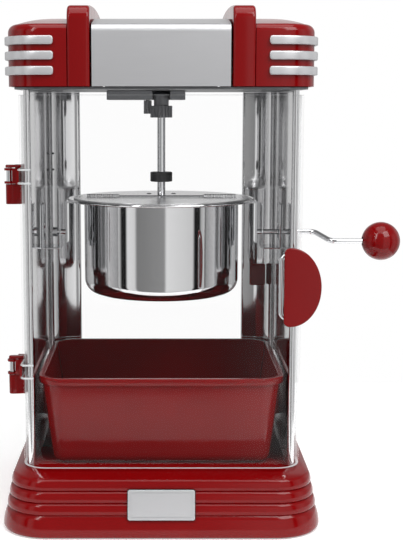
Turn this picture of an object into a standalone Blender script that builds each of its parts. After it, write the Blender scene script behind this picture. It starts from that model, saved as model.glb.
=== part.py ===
"""Tabletop popcorn maker: red base, chrome cabinet, clear swinging door, tilting kettle with a stirrer, red tray.

Metres. +X is the maker's right, -Y its front, +Z up. The origin is on the table under the cabinet's centre.
Pieces that touch keep the gap GAP between them.
"""

from math import atan2, cos, pi, radians, sin, sqrt

import bmesh
import bpy
from mathutils import Matrix, Vector

# ---------------------------------------------------------------- driving dimensions
GAP = 0.0003                    # left between pieces that touch

CABINET_HALF_WIDTH = 0.1190     # outer face of a side wall
CABINET_FRONT = -0.1000         # outer face of the door
CABINET_REAR = 0.1060           # outer face of the walls' rear returns
WALL_HEIGHT = 0.3344            # side walls, from the deck to the canopy

DECK_HEIGHT = 0.0510            # top of the base
DECK_SIDE_MARGIN = 0.0130       # base beyond the walls
DECK_FRONT_MARGIN = 0.0240      # base beyond the door
DECK_REAR_MARGIN = 0.0180       # base beyond the walls' rear; the deeper of front and rear sets both
DECK_CORNER_RADIUS = 0.0320
BASE_SPREAD = 0.0105            # how far the base's foot stands out beyond its deck
BASE_EDGE_HEIGHT = 0.0015       # lower edge of the base above the table
BASE_WALL = 0.0025
RIB_PITCH = 0.0103              # the three upper ribs; the lowest takes what is left
RIB_DEPTH = 0.0022

FOOT_RADIUS = 0.0100
FOOT_HEIGHT = 0.0022            # foot below the bottom cover
FOOT_FLANGE = 0.0025            # flange inside, wider than the foot's hole
FOOT_FLANGE_THICKNESS = 0.0015
FOOT_INSET = 0.0300             # foot's centre in from the deck's edge
COVER_THICKNESS = 0.0020
PLATE_SIZE = (0.0590, 0.0016, 0.0270)
PLATE_ABOVE_MIDDLE = 0.0040     # plate's centre above the middle of the base's front

WALL_THICKNESS = 0.0060         # double skinned
WALL_SKIN = 0.0010
WALL_CORNER_RADIUS = 0.0300     # rear corner, on the wall's middle line
WALL_RETURN = 0.0300            # how far the rear corner comes in from the wall's middle line
WINDOW_THICKNESS = 0.0020
WINDOW_OVERLAP = 0.0150         # rear window past the opening on each side
CLIP_SIZE = (0.0160, 0.0050, 0.0222)
CLIP_TURN = 39                  # where round the rear corner the clip touches, in degrees
CLIP_ABOVE_DECK = 0.1500
VENT_RADIUS = 0.0016
VENT_DROPS = (0.0600, 0.0760)   # two holes in the left rear corner, below the canopy

DOOR_THICKNESS = 0.0025
DOOR_CORNER_RADIUS = 0.0220     # outer
DOOR_SIDE_CLEARANCE = 0.0023    # door wing to wall
DOOR_CORNER_CLEARANCE = 0.0008  # door's rounded corner to the walls' front edge
DOOR_WING = 0.0350              # how far the door wraps back along the walls
DOOR_BOTTOM_GAP = 0.0025
DOOR_TOP_GAP = 0.0045

HINGE_OUT = 0.0114              # hinge axis beyond the door's outer face
HINGE_BACK = 0.0030             # hinge axis behind the wing's edge
HINGE_HEIGHT = 0.0350
HINGE_KNUCKLE = 0.0177          # lower knuckle, on the wall leaf
HINGE_CAP = 0.0027
HINGE_INSETS = (0.0593, 0.0610) # lower and upper hinge in from the door's ends
HINGE_LEAF_THICKNESS = 0.0030
HINGE_PAD = (0.0022, 0.0180)    # wall leaf's pad: thickness, reach along the wall
HINGE_STRAP = (0.0020, 0.0190)  # door leaf's strap: thickness, reach along the door's wing
HINGE_EYE_HEIGHT = 0.0020
HINGE_EYE_WALL = 0.0009
BARREL_RADIUS = 0.0031
PIN_CORE_RADIUS = 0.0016

HANDLE_HALF_HEIGHT = 0.0344
HANDLE_REACH = 0.0264           # bulge of the handle past its straight part
HANDLE_STRAIGHT = 0.0060
HANDLE_INSET = 0.0040           # flat edge past the start of the door's rounded corner
HANDLE_THICKNESS = 0.0036
HANDLE_HEIGHT = 0.1658          # handle's centre above the deck
HANDLE_STAND_OFF = 0.0045       # handle's back in front of the door
PULL_SIZE = (0.0074, 0.0024, 0.0600)
PULL_OVERLAP = 0.0030           # bar behind the handle's flat edge
POST_SIZE = (0.0044, 0.0050)

TRAY_CLEARANCE = 0.0025         # tray rim to the walls
TRAY_FRONT_CLEARANCE = 0.0090   # tray rim to the door's outer face
TRAY_REAR_CLEARANCE = 0.0100    # tray rim to the walls' rear face
TRAY_HEIGHT = 0.0808
TRAY_TAPER = 0.0085
TRAY_WALL = 0.0020
TRAY_LIP = 0.0030
TRAY_LIP_HEIGHT = 0.0062
TRAY_LIP_EDGE = 0.0008
TRAY_CORNER_RADIUS = 0.0200
TRAY_FLOOR_RADIUS = 0.0090

CANOPY_SIDE_OVERHANG = 0.0116   # canopy beyond the walls
CANOPY_FRONT_OVERHANG = 0.0175  # canopy beyond the door
CANOPY_REAR_OVERHANG = 0.0115   # canopy beyond the walls' rear; the deeper of front and rear sets both
CANOPY_HEIGHT = 0.0520          # lower edge to the top's front edge
CANOPY_RISE = 0.0100            # the top's crown above its front edge
CANOPY_WALL = 0.0020
CANOPY_CORNER_RADIUS = 0.0300
CANOPY_EDGE_RADIUS = 0.0070
PAN_THICKNESS = 0.0020
PAN_INSET = 0.0045
END_CAP_WIDTH = 0.0518          # red end cap, from the arch to the canopy's side
HOUSING_TO_ARCH = 0.0017
ARCH_WIDTH = 0.0188
ARCH_PROUD = 0.0012             # arch in front of the canopy's face
ARCH_STAND = 0.0150             # arch above the top's front edge
ARCH_RISE = 0.0050
ARCH_DEPTH = 0.0160
ARCH_SHOULDER = 0.0120
ARCH_EDGE_RADIUS = 0.0030
TRIM_COUNT = 3
TRIM_HEIGHT = 0.0072
TRIM_THICKNESS = 0.0027
TRIM_PITCH = 0.0125
TRIM_LOWEST = 0.0095            # lowest bar's lower edge above the canopy's lower edge
TRIM_TO_ARCH = 0.0112           # bars' ends on the front to the arch
PAN_HOLE_RADIUS = 0.0030

KETTLE_Y = 0.0075               # kettle's and stirrer's axis
PIVOT_DROP = 0.1326             # kettle's pivot below the canopy pan
KETTLE_RADIUS = 0.0730
KETTLE_SKIN = 0.0010
KETTLE_BELOW = 0.0576           # kettle's bottom below the pivot
KETTLE_EDGE_RADIUS = 0.0140
BOWL_TO_KETTLE = 0.0070         # the air gap round the cooking bowl
BOWL_TO_BOTTOM = 0.0105         # room for the heating ring under the bowl
BOWL_EDGE_RADIUS = 0.0080
FLANGE_OVERHANG = 0.0144        # flange beyond the kettle's wall
FLANGE_ABOVE = 0.0308           # flange above the pivot
BEAD_RADIUS = 0.0013
KETTLE_SIDES = 36               # facets round the kettle
LID_SETBACK = 0.0044            # lid's edge in from the flange's edge
LID_THICKNESS = 0.0012
LID_HINGE_FORWARD = 0.0075      # lid's hinge line in front of the stirrer's axis
LID_PIN_RADIUS = 0.0009
LID_KNUCKLE_RADIUS = 0.0019
LID_KNUCKLE_INSETS = (0.0474, 0.0324, 0.0174)   # in from the flange's edge
SHAFT_HOLE_CLEARANCE = 0.0008
HEATER_INSET = 0.0210           # heating ring in from the bowl's wall
HEATER_ROD = 0.0030
THERMOSTAT_RADIUS = 0.0090
LUG_THICKNESS = 0.0020
LUG_HALF_WIDTH = 0.0090
LUG_BELOW = 0.0095
LUG_TAB_REACH = 0.0114          # lug's tab under the flange
PIVOT_PIN_RADIUS = 0.0025
PIVOT_HEAD_RADIUS = 0.0045
PIVOT_HEAD_SPAN = (0.0025, 0.0070)  # pin's head past the hanger's web
HANGER_CLEARANCE = 0.0040       # lug to the hanger's web
HANGER_SHEET = 0.0015
HANGER_HALF_WIDTH = 0.0140
HANGER_SPAN = (-0.0150, 0.0270) # below and above the pivot
SLOT_HALF_WIDTH = 0.0029
SLOT_LENGTH = 0.0180
BUSH_WALL = 0.0020
BUSH_FLANGE_RADIUS = 0.0080
BUSH_FLANGE_THICKNESS = 0.0022
BUSH_PAST_WALL = 0.0010

CRANK_RADIUS = 0.0026
CRANK_STRAIGHT = 0.0270         # crank outside the wall before its bend
CRANK_BEND = (0.0120, -0.0250, -0.0061)
CRANK_BEND_SETBACK = 0.0050
CRANK_LENGTH = 0.1035           # wall's outer face to the knob's far side
KNOB_RADIUS = 0.0178
KNOB_SOCKET = 0.45              # socket's depth, as a share of the knob's radius

SHAFT_RADIUS = 0.0038
GEAR_TEETH = 18
PINION_TEETH = 6
TOOTH_MODULE = 0.00104
GEAR_HEIGHT = 0.0110
GEAR_BELOW_PAN = 0.0247         # gear's lower face below the canopy pan
HUB_RADIUS = 0.0070
HUB_HEIGHT = 0.0110
PINION_ABOVE_GEAR = 0.0035
PINION_HEIGHT = 0.0125
MESH_CLEARANCE = 0.0003
COLLAR_RADIUS = 0.0104
COLLAR_HEIGHT = 0.0090
COLLAR_ABOVE_PIVOT = 0.0479
BLADE_CLEARANCE = 0.0100        # blade's tip to the bowl's wall
BLADE_SIZE = (0.0090, 0.0030)
BLADE_ABOVE_FLOOR = 0.0010

BOX_SPAN_X = (-0.0500, 0.0220)
BOX_SPAN_Y = (-0.0220, 0.0420)
BOX_HEIGHT = 0.0080
NOTCH_CLEARANCE = 0.0011
MOTOR_RADIUS = 0.0170
MOTOR_HEIGHT = 0.0240
GEARBOX_SIZE = (0.0420, 0.0460, 0.0120)
SWITCH_SIZE = (0.0210, 0.0150)
SWITCH_X = -0.0300
ROCKER_LEAN = radians(8)        # off; on leans as far the other way
SWITCH_ABOVE_CANOPY = 0.0260
GLAND_RADIUS = 0.0060
GLAND_LENGTH = 0.0110
GLAND_X = 0.0300
GLAND_ABOVE_CANOPY = 0.0160

# ---------------------------------------------------------------- levels and places that follow from them
WALL_BOTTOM = DECK_HEIGHT + GAP
PAN_BOTTOM = WALL_BOTTOM + WALL_HEIGHT + GAP
CANOPY_BOTTOM = PAN_BOTTOM + PAN_THICKNESS + GAP
CANOPY_TOP = CANOPY_BOTTOM + CANOPY_HEIGHT
PIVOT_HEIGHT = PAN_BOTTOM - PIVOT_DROP
DECK_HALF_WIDTH = CABINET_HALF_WIDTH + DECK_SIDE_MARGIN
DECK_HALF_DEPTH = max(DECK_FRONT_MARGIN - CABINET_FRONT, DECK_REAR_MARGIN + CABINET_REAR)
CANOPY_HALF_WIDTH = CABINET_HALF_WIDTH + CANOPY_SIDE_OVERHANG
CANOPY_HALF_DEPTH = max(CANOPY_FRONT_OVERHANG - CABINET_FRONT, CANOPY_REAR_OVERHANG + CABINET_REAR)
END_CAP_INNER_X = CANOPY_HALF_WIDTH - END_CAP_WIDTH
ARCH_INNER_X = END_CAP_INNER_X - GAP - ARCH_WIDTH
HOUSING_HALF_WIDTH = ARCH_INNER_X - HOUSING_TO_ARCH
WALL_INNER_X = CABINET_HALF_WIDTH - WALL_THICKNESS
WALL_MIDDLE_X = CABINET_HALF_WIDTH - WALL_THICKNESS / 2
DOOR_OUTER_X = CABINET_HALF_WIDTH + DOOR_SIDE_CLEARANCE + DOOR_THICKNESS
DOOR_BOTTOM = DECK_HEIGHT + DOOR_BOTTOM_GAP
DOOR_TOP = PAN_BOTTOM - DOOR_TOP_GAP
DOOR_WING_Y = CABINET_FRONT + DOOR_WING
HINGE_X = -(DOOR_OUTER_X + HINGE_OUT)
HINGE_Y = DOOR_WING_Y + HINGE_BACK
FLANGE_RADIUS = KETTLE_RADIUS + FLANGE_OVERHANG
FLANGE_Z = PIVOT_HEIGHT + FLANGE_ABOVE
LUG_X = FLANGE_RADIUS + BEAD_RADIUS + LUG_THICKNESS
HANGER_X = LUG_X + HANGER_CLEARANCE
BOWL_RADIUS = KETTLE_RADIUS - BOWL_TO_KETTLE
BOWL_FLOOR_BELOW = KETTLE_BELOW - BOWL_TO_BOTTOM
TRAY_FRONT = CABINET_FRONT + TRAY_FRONT_CLEARANCE
TRAY_REAR = CABINET_REAR - TRAY_REAR_CLEARANCE
LID_HINGE_Y = KETTLE_Y - LID_HINGE_FORWARD
GEAR_Z = PAN_BOTTOM - GEAR_BELOW_PAN
PINION_X = -(GEAR_TEETH + PINION_TEETH) / 2 * TOOTH_MODULE - MESH_CLEARANCE


# ---------------------------------------------------------------- materials
def material(name, colour, roughness, metallic=0.0, alpha=1.0):
    made = bpy.data.materials.new(name)
    made.use_nodes = True
    shader = made.node_tree.nodes["Principled BSDF"]
    shader.inputs["Base Color"].default_value = (*colour, 1.0)
    shader.inputs["Roughness"].default_value = roughness
    shader.inputs["Metallic"].default_value = metallic
    shader.inputs["Alpha"].default_value = alpha
    return made


RED_PLASTIC = material("red_plastic", (0.33, 0.008, 0.012), 0.22)
DARK_PLASTIC = material("dark_plastic", (0.02, 0.02, 0.02), 0.45)
GREY_PLASTIC = material("grey_plastic", (0.12, 0.12, 0.12), 0.5)
SILVER_PAINT = material("silver_paint", (0.62, 0.62, 0.62), 0.35, 0.8)
GREY_METAL = material("grey_metal", (0.35, 0.35, 0.35), 0.4, 1.0)
CHROME = material("chrome", (0.78, 0.78, 0.78), 0.08, 1.0)
CLEAR = material("clear_acrylic", (0.9, 0.9, 0.9), 0.05, 0.0, 0.25)
RUBBER = material("rubber", (0.02, 0.02, 0.02), 0.8)


# ---------------------------------------------------------------- outlines
def arc(centre, radius, start, end, steps):
    """Points on a circle, from one angle to another, in degrees."""
    angles = [radians(start + (end - start) * i / steps) for i in range(steps + 1)]
    return [(centre[0] + radius * cos(a), centre[1] + radius * sin(a)) for a in angles]


def circle(radius, steps=32, centre=(0.0, 0.0)):
    return arc(centre, radius, 0.0, 360.0, steps)[:-1]


def rounded_rectangle(half_x, half_y, radius, steps=6, centre=(0.0, 0.0)):
    points = []
    for start, sx, sy in ((0, 1, 1), (90, -1, 1), (180, -1, -1), (270, 1, -1)):
        corner = (centre[0] + sx * (half_x - radius), centre[1] + sy * (half_y - radius))
        points += arc(corner, radius, start, start + 90, steps)
    return points


def level(outline, z):
    """A plan outline at a height."""
    return [Vector((x, y, z)) for x, y in outline]


def mirrored(outline):
    """The outline's mirror image across the middle, still counter-clockwise."""
    return [(-x, y) for x, y in reversed(outline)]


# ---------------------------------------------------------------- solids
def add_object(name, mesh, finish, smooth=40):
    solid = bpy.data.objects.new(name, mesh)
    bpy.context.scene.collection.objects.link(solid)
    mesh.materials.append(finish)
    mesh.shade_smooth()
    mesh.set_sharp_from_angle(angle=radians(smooth))
    return solid


def loft(name, rings, finish, closed=False):
    """A solid through rings of points. Its two ends are filled, or meet when closed is set."""
    shape = bmesh.new()
    rows = [[shape.verts.new(point) for point in ring] for ring in rings]
    pairs = list(zip(rows, rows[1:]))
    if closed:
        pairs.append((rows[-1], rows[0]))
    else:
        shape.faces.new(rows[0])
        shape.faces.new(rows[-1])
    count = len(rows[0])
    for row, following in pairs:
        for i in range(count):
            j = (i + 1) % count
            shape.faces.new((row[i], row[j], following[j], following[i]))
    bmesh.ops.recalc_face_normals(shape, faces=shape.faces)
    mesh = bpy.data.meshes.new(name)
    shape.to_mesh(mesh)
    shape.free()
    return add_object(name, mesh, finish)


def slab(name, outline, bottom, top, finish):
    return loft(name, [level(outline, bottom), level(outline, top)], finish)


def block(name, low, high, finish, bevel=0.0):
    """A box between two corners, with softened edges where bevel is set."""
    outline = [(low[0], low[1]), (high[0], low[1]), (high[0], high[1]), (low[0], high[1])]
    solid = slab(name, outline, low[2], high[2], finish)
    if bevel:
        soften(solid, bevel)
    return solid


def soften(solid, width, segments=2):
    edge = solid.modifiers.new("edges", "BEVEL")
    edge.width = width
    edge.segments = segments
    edge.limit_method = "ANGLE"
    edge.angle_limit = radians(50)


def turned(name, profile, finish, centre, steps=32, axis="Z", closed=False):
    """A turned piece: its profile's (radius, height) points, spun about an axis through centre."""
    turn = {"Z": Matrix(), "X": Matrix.Rotation(pi / 2, 4, "Y"), "Y": Matrix.Rotation(-pi / 2, 4, "X")}[axis]
    place = Matrix.Translation(centre) @ turn
    rings = [[place @ point for point in level(circle(r, steps), z)] for r, z in profile]
    return loft(name, rings, finish, closed)


def rod(name, radius, start, length, finish, axis="Z", steps=20):
    """A plain round bar from start, along +axis."""
    return turned(name, [(radius, 0.0), (radius, length)], finish, start, steps, axis)


def ribbon(name, outer, inner, bottom, top, finish):
    """A bent sheet standing on edge, between two plan paths with as many points each."""
    rings = []
    for (ox, oy), (ix, iy) in zip(outer, inner):
        rings.append([Vector(p) for p in ((ox, oy, bottom), (ix, iy, bottom), (ix, iy, top), (ox, oy, top))])
    return loft(name, rings, finish)


def guide(solid):
    """Marks a shape that only cuts or joins another, and isn't a piece."""
    solid.hide_render = True
    solid.display_type = "WIRE"
    return solid


def combine(solid, tool, operation):
    guide(tool)
    change = solid.modifiers.new(tool.name, "BOOLEAN")
    change.operation = operation
    change.solver = "EXACT"
    change.object = tool


def cut(solid, tool):
    combine(solid, tool, "DIFFERENCE")


def join(solid, tool):
    combine(solid, tool, "UNION")


def axis_empty(name, place):
    """The empty on a joint's axis that a moving group hangs from."""
    empty = bpy.data.objects.new(name, None)
    empty.location = place
    bpy.context.scene.collection.objects.link(empty)
    return empty


def hang(parent, solids):
    """Parents pieces to an empty, and leaves them where they are."""
    for solid in solids:
        solid.parent = parent
        solid.matrix_parent_inverse = Matrix.Translation(parent.location).inverted()


# ---------------------------------------------------------------- base
def taper(z):
    """How far the ribs' crests stand out beyond the deck at a height."""
    return BASE_SPREAD * (DECK_HEIGHT - z) / (DECK_HEIGHT - BASE_EDGE_HEIGHT)


def base_outline(spread):
    return rounded_rectangle(
        DECK_HALF_WIDTH + spread, DECK_HALF_DEPTH + spread, DECK_CORNER_RADIUS + spread, steps=6
    )


def rib_edges():
    """Heights of the grooves, from the base's lower edge to the deck."""
    return [BASE_EDGE_HEIGHT] + [DECK_HEIGHT - RIB_PITCH * n for n in (3, 2, 1, 0)]


def base_inside(z):
    """The inside's spread at a height: a straight draught from the lower edge to the ceiling."""
    return taper(z) - RIB_DEPTH - BASE_WALL


def build_base():
    ceiling = DECK_HEIGHT - BASE_WALL
    rings = [level(base_outline(base_inside(z)), z) for z in (ceiling, BASE_EDGE_HEIGHT)]
    edges = rib_edges()
    rings.append(level(base_outline(taper(edges[0]) - RIB_DEPTH), edges[0]))
    steps = 4
    for low, high in zip(edges, edges[1:]):
        for i in range(1, steps + 1):
            share = i / steps
            z = low + (high - low) * share
            bulge = RIB_DEPTH * max(0.0, sin(pi * share)) ** 0.6
            rings.append(level(base_outline(taper(z) - RIB_DEPTH + bulge), z))
    loft("base_shell", rings, RED_PLASTIC)

    cover_bottom = FOOT_HEIGHT + GAP
    cover_top = cover_bottom + COVER_THICKNESS
    outline = base_outline(base_inside(cover_top) - GAP)
    cover = slab("bottom_cover", outline, cover_bottom, cover_top, DARK_PLASTIC)
    flange = FOOT_RADIUS + FOOT_FLANGE
    seat = cover_top + GAP
    profile = [(FOOT_RADIUS, 0.0), (FOOT_RADIUS, seat), (flange, seat), (flange, seat + FOOT_FLANGE_THICKNESS)]
    for end, sy in (("front", -1), ("rear", 1)):
        for side, sx in (("left", -1), ("right", 1)):
            x, y = sx * (DECK_HALF_WIDTH - FOOT_INSET), sy * (DECK_HALF_DEPTH - FOOT_INSET)
            turned(f"foot_{end}_{side}", profile, RUBBER, (x, y, 0.0), 24)
            hole = (x, y, cover_bottom - GAP)
            depth = COVER_THICKNESS + 2 * GAP
            cut(cover, rod(f"foot_hole_{end}_{side}", FOOT_RADIUS + GAP, hole, depth, DARK_PLASTIC, steps=24))


def build_name_plate():
    """A blank plate that lies against the ribs' crests on the front."""
    width, thickness, height = PLATE_SIZE
    lean = atan2(BASE_SPREAD, DECK_HEIGHT - BASE_EDGE_HEIGHT)
    middle = (DECK_HEIGHT + BASE_EDGE_HEIGHT) / 2 + PLATE_ABOVE_MIDDLE
    plate = block(
        "name_plate",
        (-width / 2, -thickness / 2, -height / 2),
        (width / 2, thickness / 2, height / 2),
        SILVER_PAINT,
        bevel=0.0005,
    )
    plate.rotation_euler = (-lean, 0.0, 0.0)
    plate.location = (0.0, -(DECK_HALF_DEPTH + taper(middle) + (GAP + thickness / 2) / cos(lean)), middle)


# ---------------------------------------------------------------- cabinet
def wall_front():
    """Where the walls' round front edges just clear the inside of the door's corners."""
    across = WALL_MIDDLE_X - (DOOR_OUTER_X - DOOR_CORNER_RADIUS)
    reach = DOOR_CORNER_RADIUS - DOOR_THICKNESS - WALL_THICKNESS / 2 - DOOR_CORNER_CLEARANCE
    return CABINET_FRONT + DOOR_CORNER_RADIUS - sqrt(max(reach**2 - across**2, 0.0))


def wall_outline(half_thickness):
    """Plan of the right wall: straight, a large rear corner and a short return, with round ends."""
    radius = WALL_CORNER_RADIUS
    front = wall_front()
    rear = CABINET_REAR - WALL_THICKNESS / 2
    corner = (WALL_MIDDLE_X - radius, rear - radius)
    end = (WALL_MIDDLE_X - WALL_RETURN, rear)
    points = arc((WALL_MIDDLE_X, front), half_thickness, 180, 360, 6)
    points += arc(corner, radius + half_thickness, 0, 88, 8)
    points += arc(end, half_thickness, 90, 270, 6)
    points += arc(corner, radius - half_thickness, 88, 0, 8)
    return points


def build_walls():
    outer = wall_outline(WALL_THICKNESS / 2)
    inner = wall_outline(WALL_THICKNESS / 2 - WALL_SKIN)
    walls = {}
    for side, shape in (("left", mirrored), ("right", list)):
        rings = [
            level(shape(outline), z)
            for outline, z in (
                (outer, WALL_BOTTOM),
                (outer, WALL_BOTTOM + WALL_HEIGHT),
                (inner, WALL_BOTTOM + WALL_HEIGHT),
                (inner, WALL_BOTTOM),
            )
        ]
        walls[side] = loft(f"{side}_side_wall", rings, CHROME, closed=True)

    bore = rod(
        "crank_bore_cutter",
        CRANK_RADIUS + BUSH_WALL + 2 * GAP,
        (WALL_INNER_X - 0.0050, KETTLE_Y, PIVOT_HEIGHT),
        WALL_THICKNESS + 0.0100,
        CHROME,
        axis="X",
    )
    cut(walls["right"], bore)
    turn = radians(45)
    corner = (WALL_MIDDLE_X - WALL_CORNER_RADIUS, CABINET_REAR - WALL_THICKNESS / 2 - WALL_CORNER_RADIUS)
    for number, drop in enumerate(VENT_DROPS, 1):
        reach = WALL_CORNER_RADIUS - WALL_THICKNESS / 2 - WALL_SKIN
        vent = turned(
            f"vent_cutter_{number}",
            [(VENT_RADIUS, -0.0005), (VENT_RADIUS, 3 * WALL_SKIN)],
            CHROME,
            (0, 0, 0),
            steps=12,
            axis="X",
        )
        vent.location = (-(corner[0] + reach * cos(turn)), corner[1] + reach * sin(turn), PAN_BOTTOM - drop)
        vent.rotation_euler = (0.0, 0.0, pi - turn)
        cut(walls["left"], vent)

    bush_bore = CRANK_RADIUS + GAP
    bush_out = bush_bore + BUSH_WALL
    face = CABINET_HALF_WIDTH + GAP
    profile = [
        (bush_bore, -WALL_THICKNESS - BUSH_PAST_WALL),
        (bush_bore, BUSH_FLANGE_THICKNESS),
        (BUSH_FLANGE_RADIUS, BUSH_FLANGE_THICKNESS),
        (BUSH_FLANGE_RADIUS, 0.0),
        (bush_out, 0.0),
        (bush_out, -WALL_THICKNESS - BUSH_PAST_WALL),
    ]
    turned("crank_bush", profile, CHROME, (face, KETTLE_Y, PIVOT_HEIGHT), 24, "X", closed=True)

    opening = WALL_MIDDLE_X - WALL_RETURN
    block(
        "rear_window",
        (-opening - WINDOW_OVERLAP, CABINET_REAR + GAP, WALL_BOTTOM),
        (opening + WINDOW_OVERLAP, CABINET_REAR + GAP + WINDOW_THICKNESS, WALL_BOTTOM + WALL_HEIGHT),
        CLEAR,
    )

    width, depth, height = CLIP_SIZE
    radius = WALL_CORNER_RADIUS - WALL_THICKNESS / 2 - 2 * GAP
    right = corner[0] + radius * cos(radians(CLIP_TURN))
    back = corner[1] + radius * sin(radians(CLIP_TURN))
    low = (right - width, back - depth, DECK_HEIGHT + CLIP_ABOVE_DECK - height / 2)
    high = (right, back, DECK_HEIGHT + CLIP_ABOVE_DECK + height / 2)
    block("window_clip", low, high, RED_PLASTIC, bevel=0.0014)


# ---------------------------------------------------------------- door
def door_path(inset):
    """Plan of the door from its left wing's edge round the front to its right wing's edge."""
    x = DOOR_OUTER_X - inset
    radius = DOOR_CORNER_RADIUS - inset
    centre_x = DOOR_OUTER_X - DOOR_CORNER_RADIUS
    centre_y = CABINET_FRONT + DOOR_CORNER_RADIUS
    left = arc((-centre_x, centre_y), radius, 180, 270, 8)
    right = arc((centre_x, centre_y), radius, 270, 360, 8)
    return [(-x, DOOR_WING_Y)] + left + right + [(x, DOOR_WING_Y)]


def build_handle():
    """A half-oval pull whose flat edge stands in front of the door, with a bar behind that edge."""
    pull_width, pull_depth, pull_height = PULL_SIZE
    flat_x = DOOR_OUTER_X - DOOR_CORNER_RADIUS + HANDLE_INSET
    centre_z = DECK_HEIGHT + HANDLE_HEIGHT
    oval = [
        (flat_x + HANDLE_STRAIGHT + HANDLE_REACH * cos(a), centre_z + HANDLE_HALF_HEIGHT * sin(a))
        for a in (radians(-90 + 180 * i / 24) for i in range(25))
    ]
    corner = HANDLE_STRAIGHT
    top = arc((flat_x + corner, centre_z + HANDLE_HALF_HEIGHT - corner), corner, 90, 180, 4)[1:]
    bottom = arc((flat_x + corner, centre_z - HANDLE_HALF_HEIGHT + corner), corner, 180, 270, 4)[:-1]
    outline = oval + top + bottom
    back = CABINET_FRONT - HANDLE_STAND_OFF
    rings = [[Vector((x, y, z)) for x, z in outline] for y in (back, back - HANDLE_THICKNESS)]
    handle = loft("door_handle", rings, RED_PLASTIC)
    soften(handle, 0.0010)

    right = flat_x + PULL_OVERLAP
    front = back + GAP + pull_depth
    low_z = centre_z - pull_height / 2
    high_z = centre_z + pull_height / 2
    bar = block("handle_bracket", (right - pull_width, back + GAP, low_z), (right, front, high_z), CHROME)
    post_width, post_height = POST_SIZE
    middle = right - pull_width / 2
    for name, z in (("lower_post", low_z), ("upper_post", high_z - post_height)):
        foot = block(
            f"handle_{name}",
            (middle - post_width / 2, front - GAP, z),
            (middle + post_width / 2, CABINET_FRONT - GAP, z + post_height),
            CHROME,
        )
        join(bar, foot)
    return [handle, bar]


def build_hinge(where, bottom):
    """A wall leaf with the lower knuckle, a pin with its cap, and a door leaf with two eyes."""
    pin_place = (HINGE_X, HINGE_Y, bottom)
    top = bottom + HINGE_HEIGHT
    wall_face = -(CABINET_HALF_WIDTH + GAP)
    knuckle_top = bottom + HINGE_KNUCKLE
    leaf_front = HINGE_Y + BARREL_RADIUS + HINGE_LEAF_THICKNESS / 2
    leaf_back = leaf_front + HINGE_LEAF_THICKNESS
    pad_thickness, pad_reach = HINGE_PAD
    leaf_out = wall_face - HINGE_OUT + GAP
    leaf = block(f"hinge_wall_leaf_{where}", (leaf_out, leaf_front, bottom), (wall_face, leaf_back, top), RED_PLASTIC)
    pad_low = (wall_face - pad_thickness, leaf_front + GAP, bottom + GAP)
    pad_high = (wall_face, leaf_front + pad_reach, top - GAP)
    join(leaf, block(f"hinge_pad_{where}", pad_low, pad_high, RED_PLASTIC))
    barrel = arc((HINGE_X, HINGE_Y), BARREL_RADIUS, 90, 270, 12)
    right_x = wall_face - pad_thickness
    outline = barrel + [(right_x, HINGE_Y - BARREL_RADIUS + 3 * GAP), (right_x, leaf_front + GAP)]
    outline += [(HINGE_X + BARREL_RADIUS, leaf_front + GAP)]
    join(leaf, slab(f"hinge_knuckle_{where}", outline, bottom + GAP, knuckle_top, RED_PLASTIC))
    bore = (HINGE_X, HINGE_Y, bottom - GAP)
    cut(leaf, rod(f"hinge_bore_{where}", PIN_CORE_RADIUS + GAP, bore, HINGE_KNUCKLE + 3 * GAP, CHROME))

    exposed = (knuckle_top - bottom + GAP, HINGE_HEIGHT - HINGE_CAP)
    shank = BARREL_RADIUS - GAP / 2
    pin_profile = [
        (PIN_CORE_RADIUS, 2 * GAP),
        (PIN_CORE_RADIUS, exposed[0]),
        (shank, exposed[0]),
        (shank, exposed[1]),
        (BARREL_RADIUS, exposed[1]),
        (BARREL_RADIUS, HINGE_HEIGHT),
    ]
    turned(f"hinge_pin_{where}", pin_profile, CHROME, pin_place, 20)

    door_face = -(DOOR_OUTER_X + GAP)
    low, high = bottom + exposed[0] + GAP, bottom + exposed[1] - GAP
    eye_inner = BARREL_RADIUS + GAP
    eye_outer = eye_inner + HINGE_EYE_WALL
    strap_thickness, strap_reach = HINGE_STRAP
    grip = block(
        f"hinge_door_leaf_{where}",
        (HINGE_X + eye_inner - GAP, HINGE_Y - eye_outer - GAP, low),
        (door_face, HINGE_Y + HINGE_EYE_WALL, high),
        RED_PLASTIC,
    )
    strap = block(
        f"hinge_strap_{where}",
        (door_face - strap_thickness, HINGE_Y - BARREL_RADIUS - strap_reach, low + GAP),
        (door_face, HINGE_Y - BARREL_RADIUS, high - GAP),
        RED_PLASTIC,
    )
    join(grip, strap)
    for number, z in enumerate((low, high - HINGE_EYE_HEIGHT), 1):
        join(grip, rod(f"hinge_eye_{where}_{number}", eye_outer, (HINGE_X, HINGE_Y, z), HINGE_EYE_HEIGHT, CHROME))
    bore = (HINGE_X, HINGE_Y, low - GAP)
    cut(grip, rod(f"hinge_eye_bore_{where}", eye_inner, bore, high - low + 2 * GAP, CHROME))
    return grip


def build_door():
    panel = ribbon("door_panel", door_path(0.0), door_path(DOOR_THICKNESS), DOOR_BOTTOM, DOOR_TOP, CLEAR)
    pieces = [panel] + build_handle()
    pieces.append(build_hinge("lower", DOOR_BOTTOM + HINGE_INSETS[0]))
    pieces.append(build_hinge("upper", DOOR_TOP - HINGE_INSETS[1] - HINGE_HEIGHT))
    hang(axis_empty("door_axis", (HINGE_X, HINGE_Y, DOOR_BOTTOM)), pieces)


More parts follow.
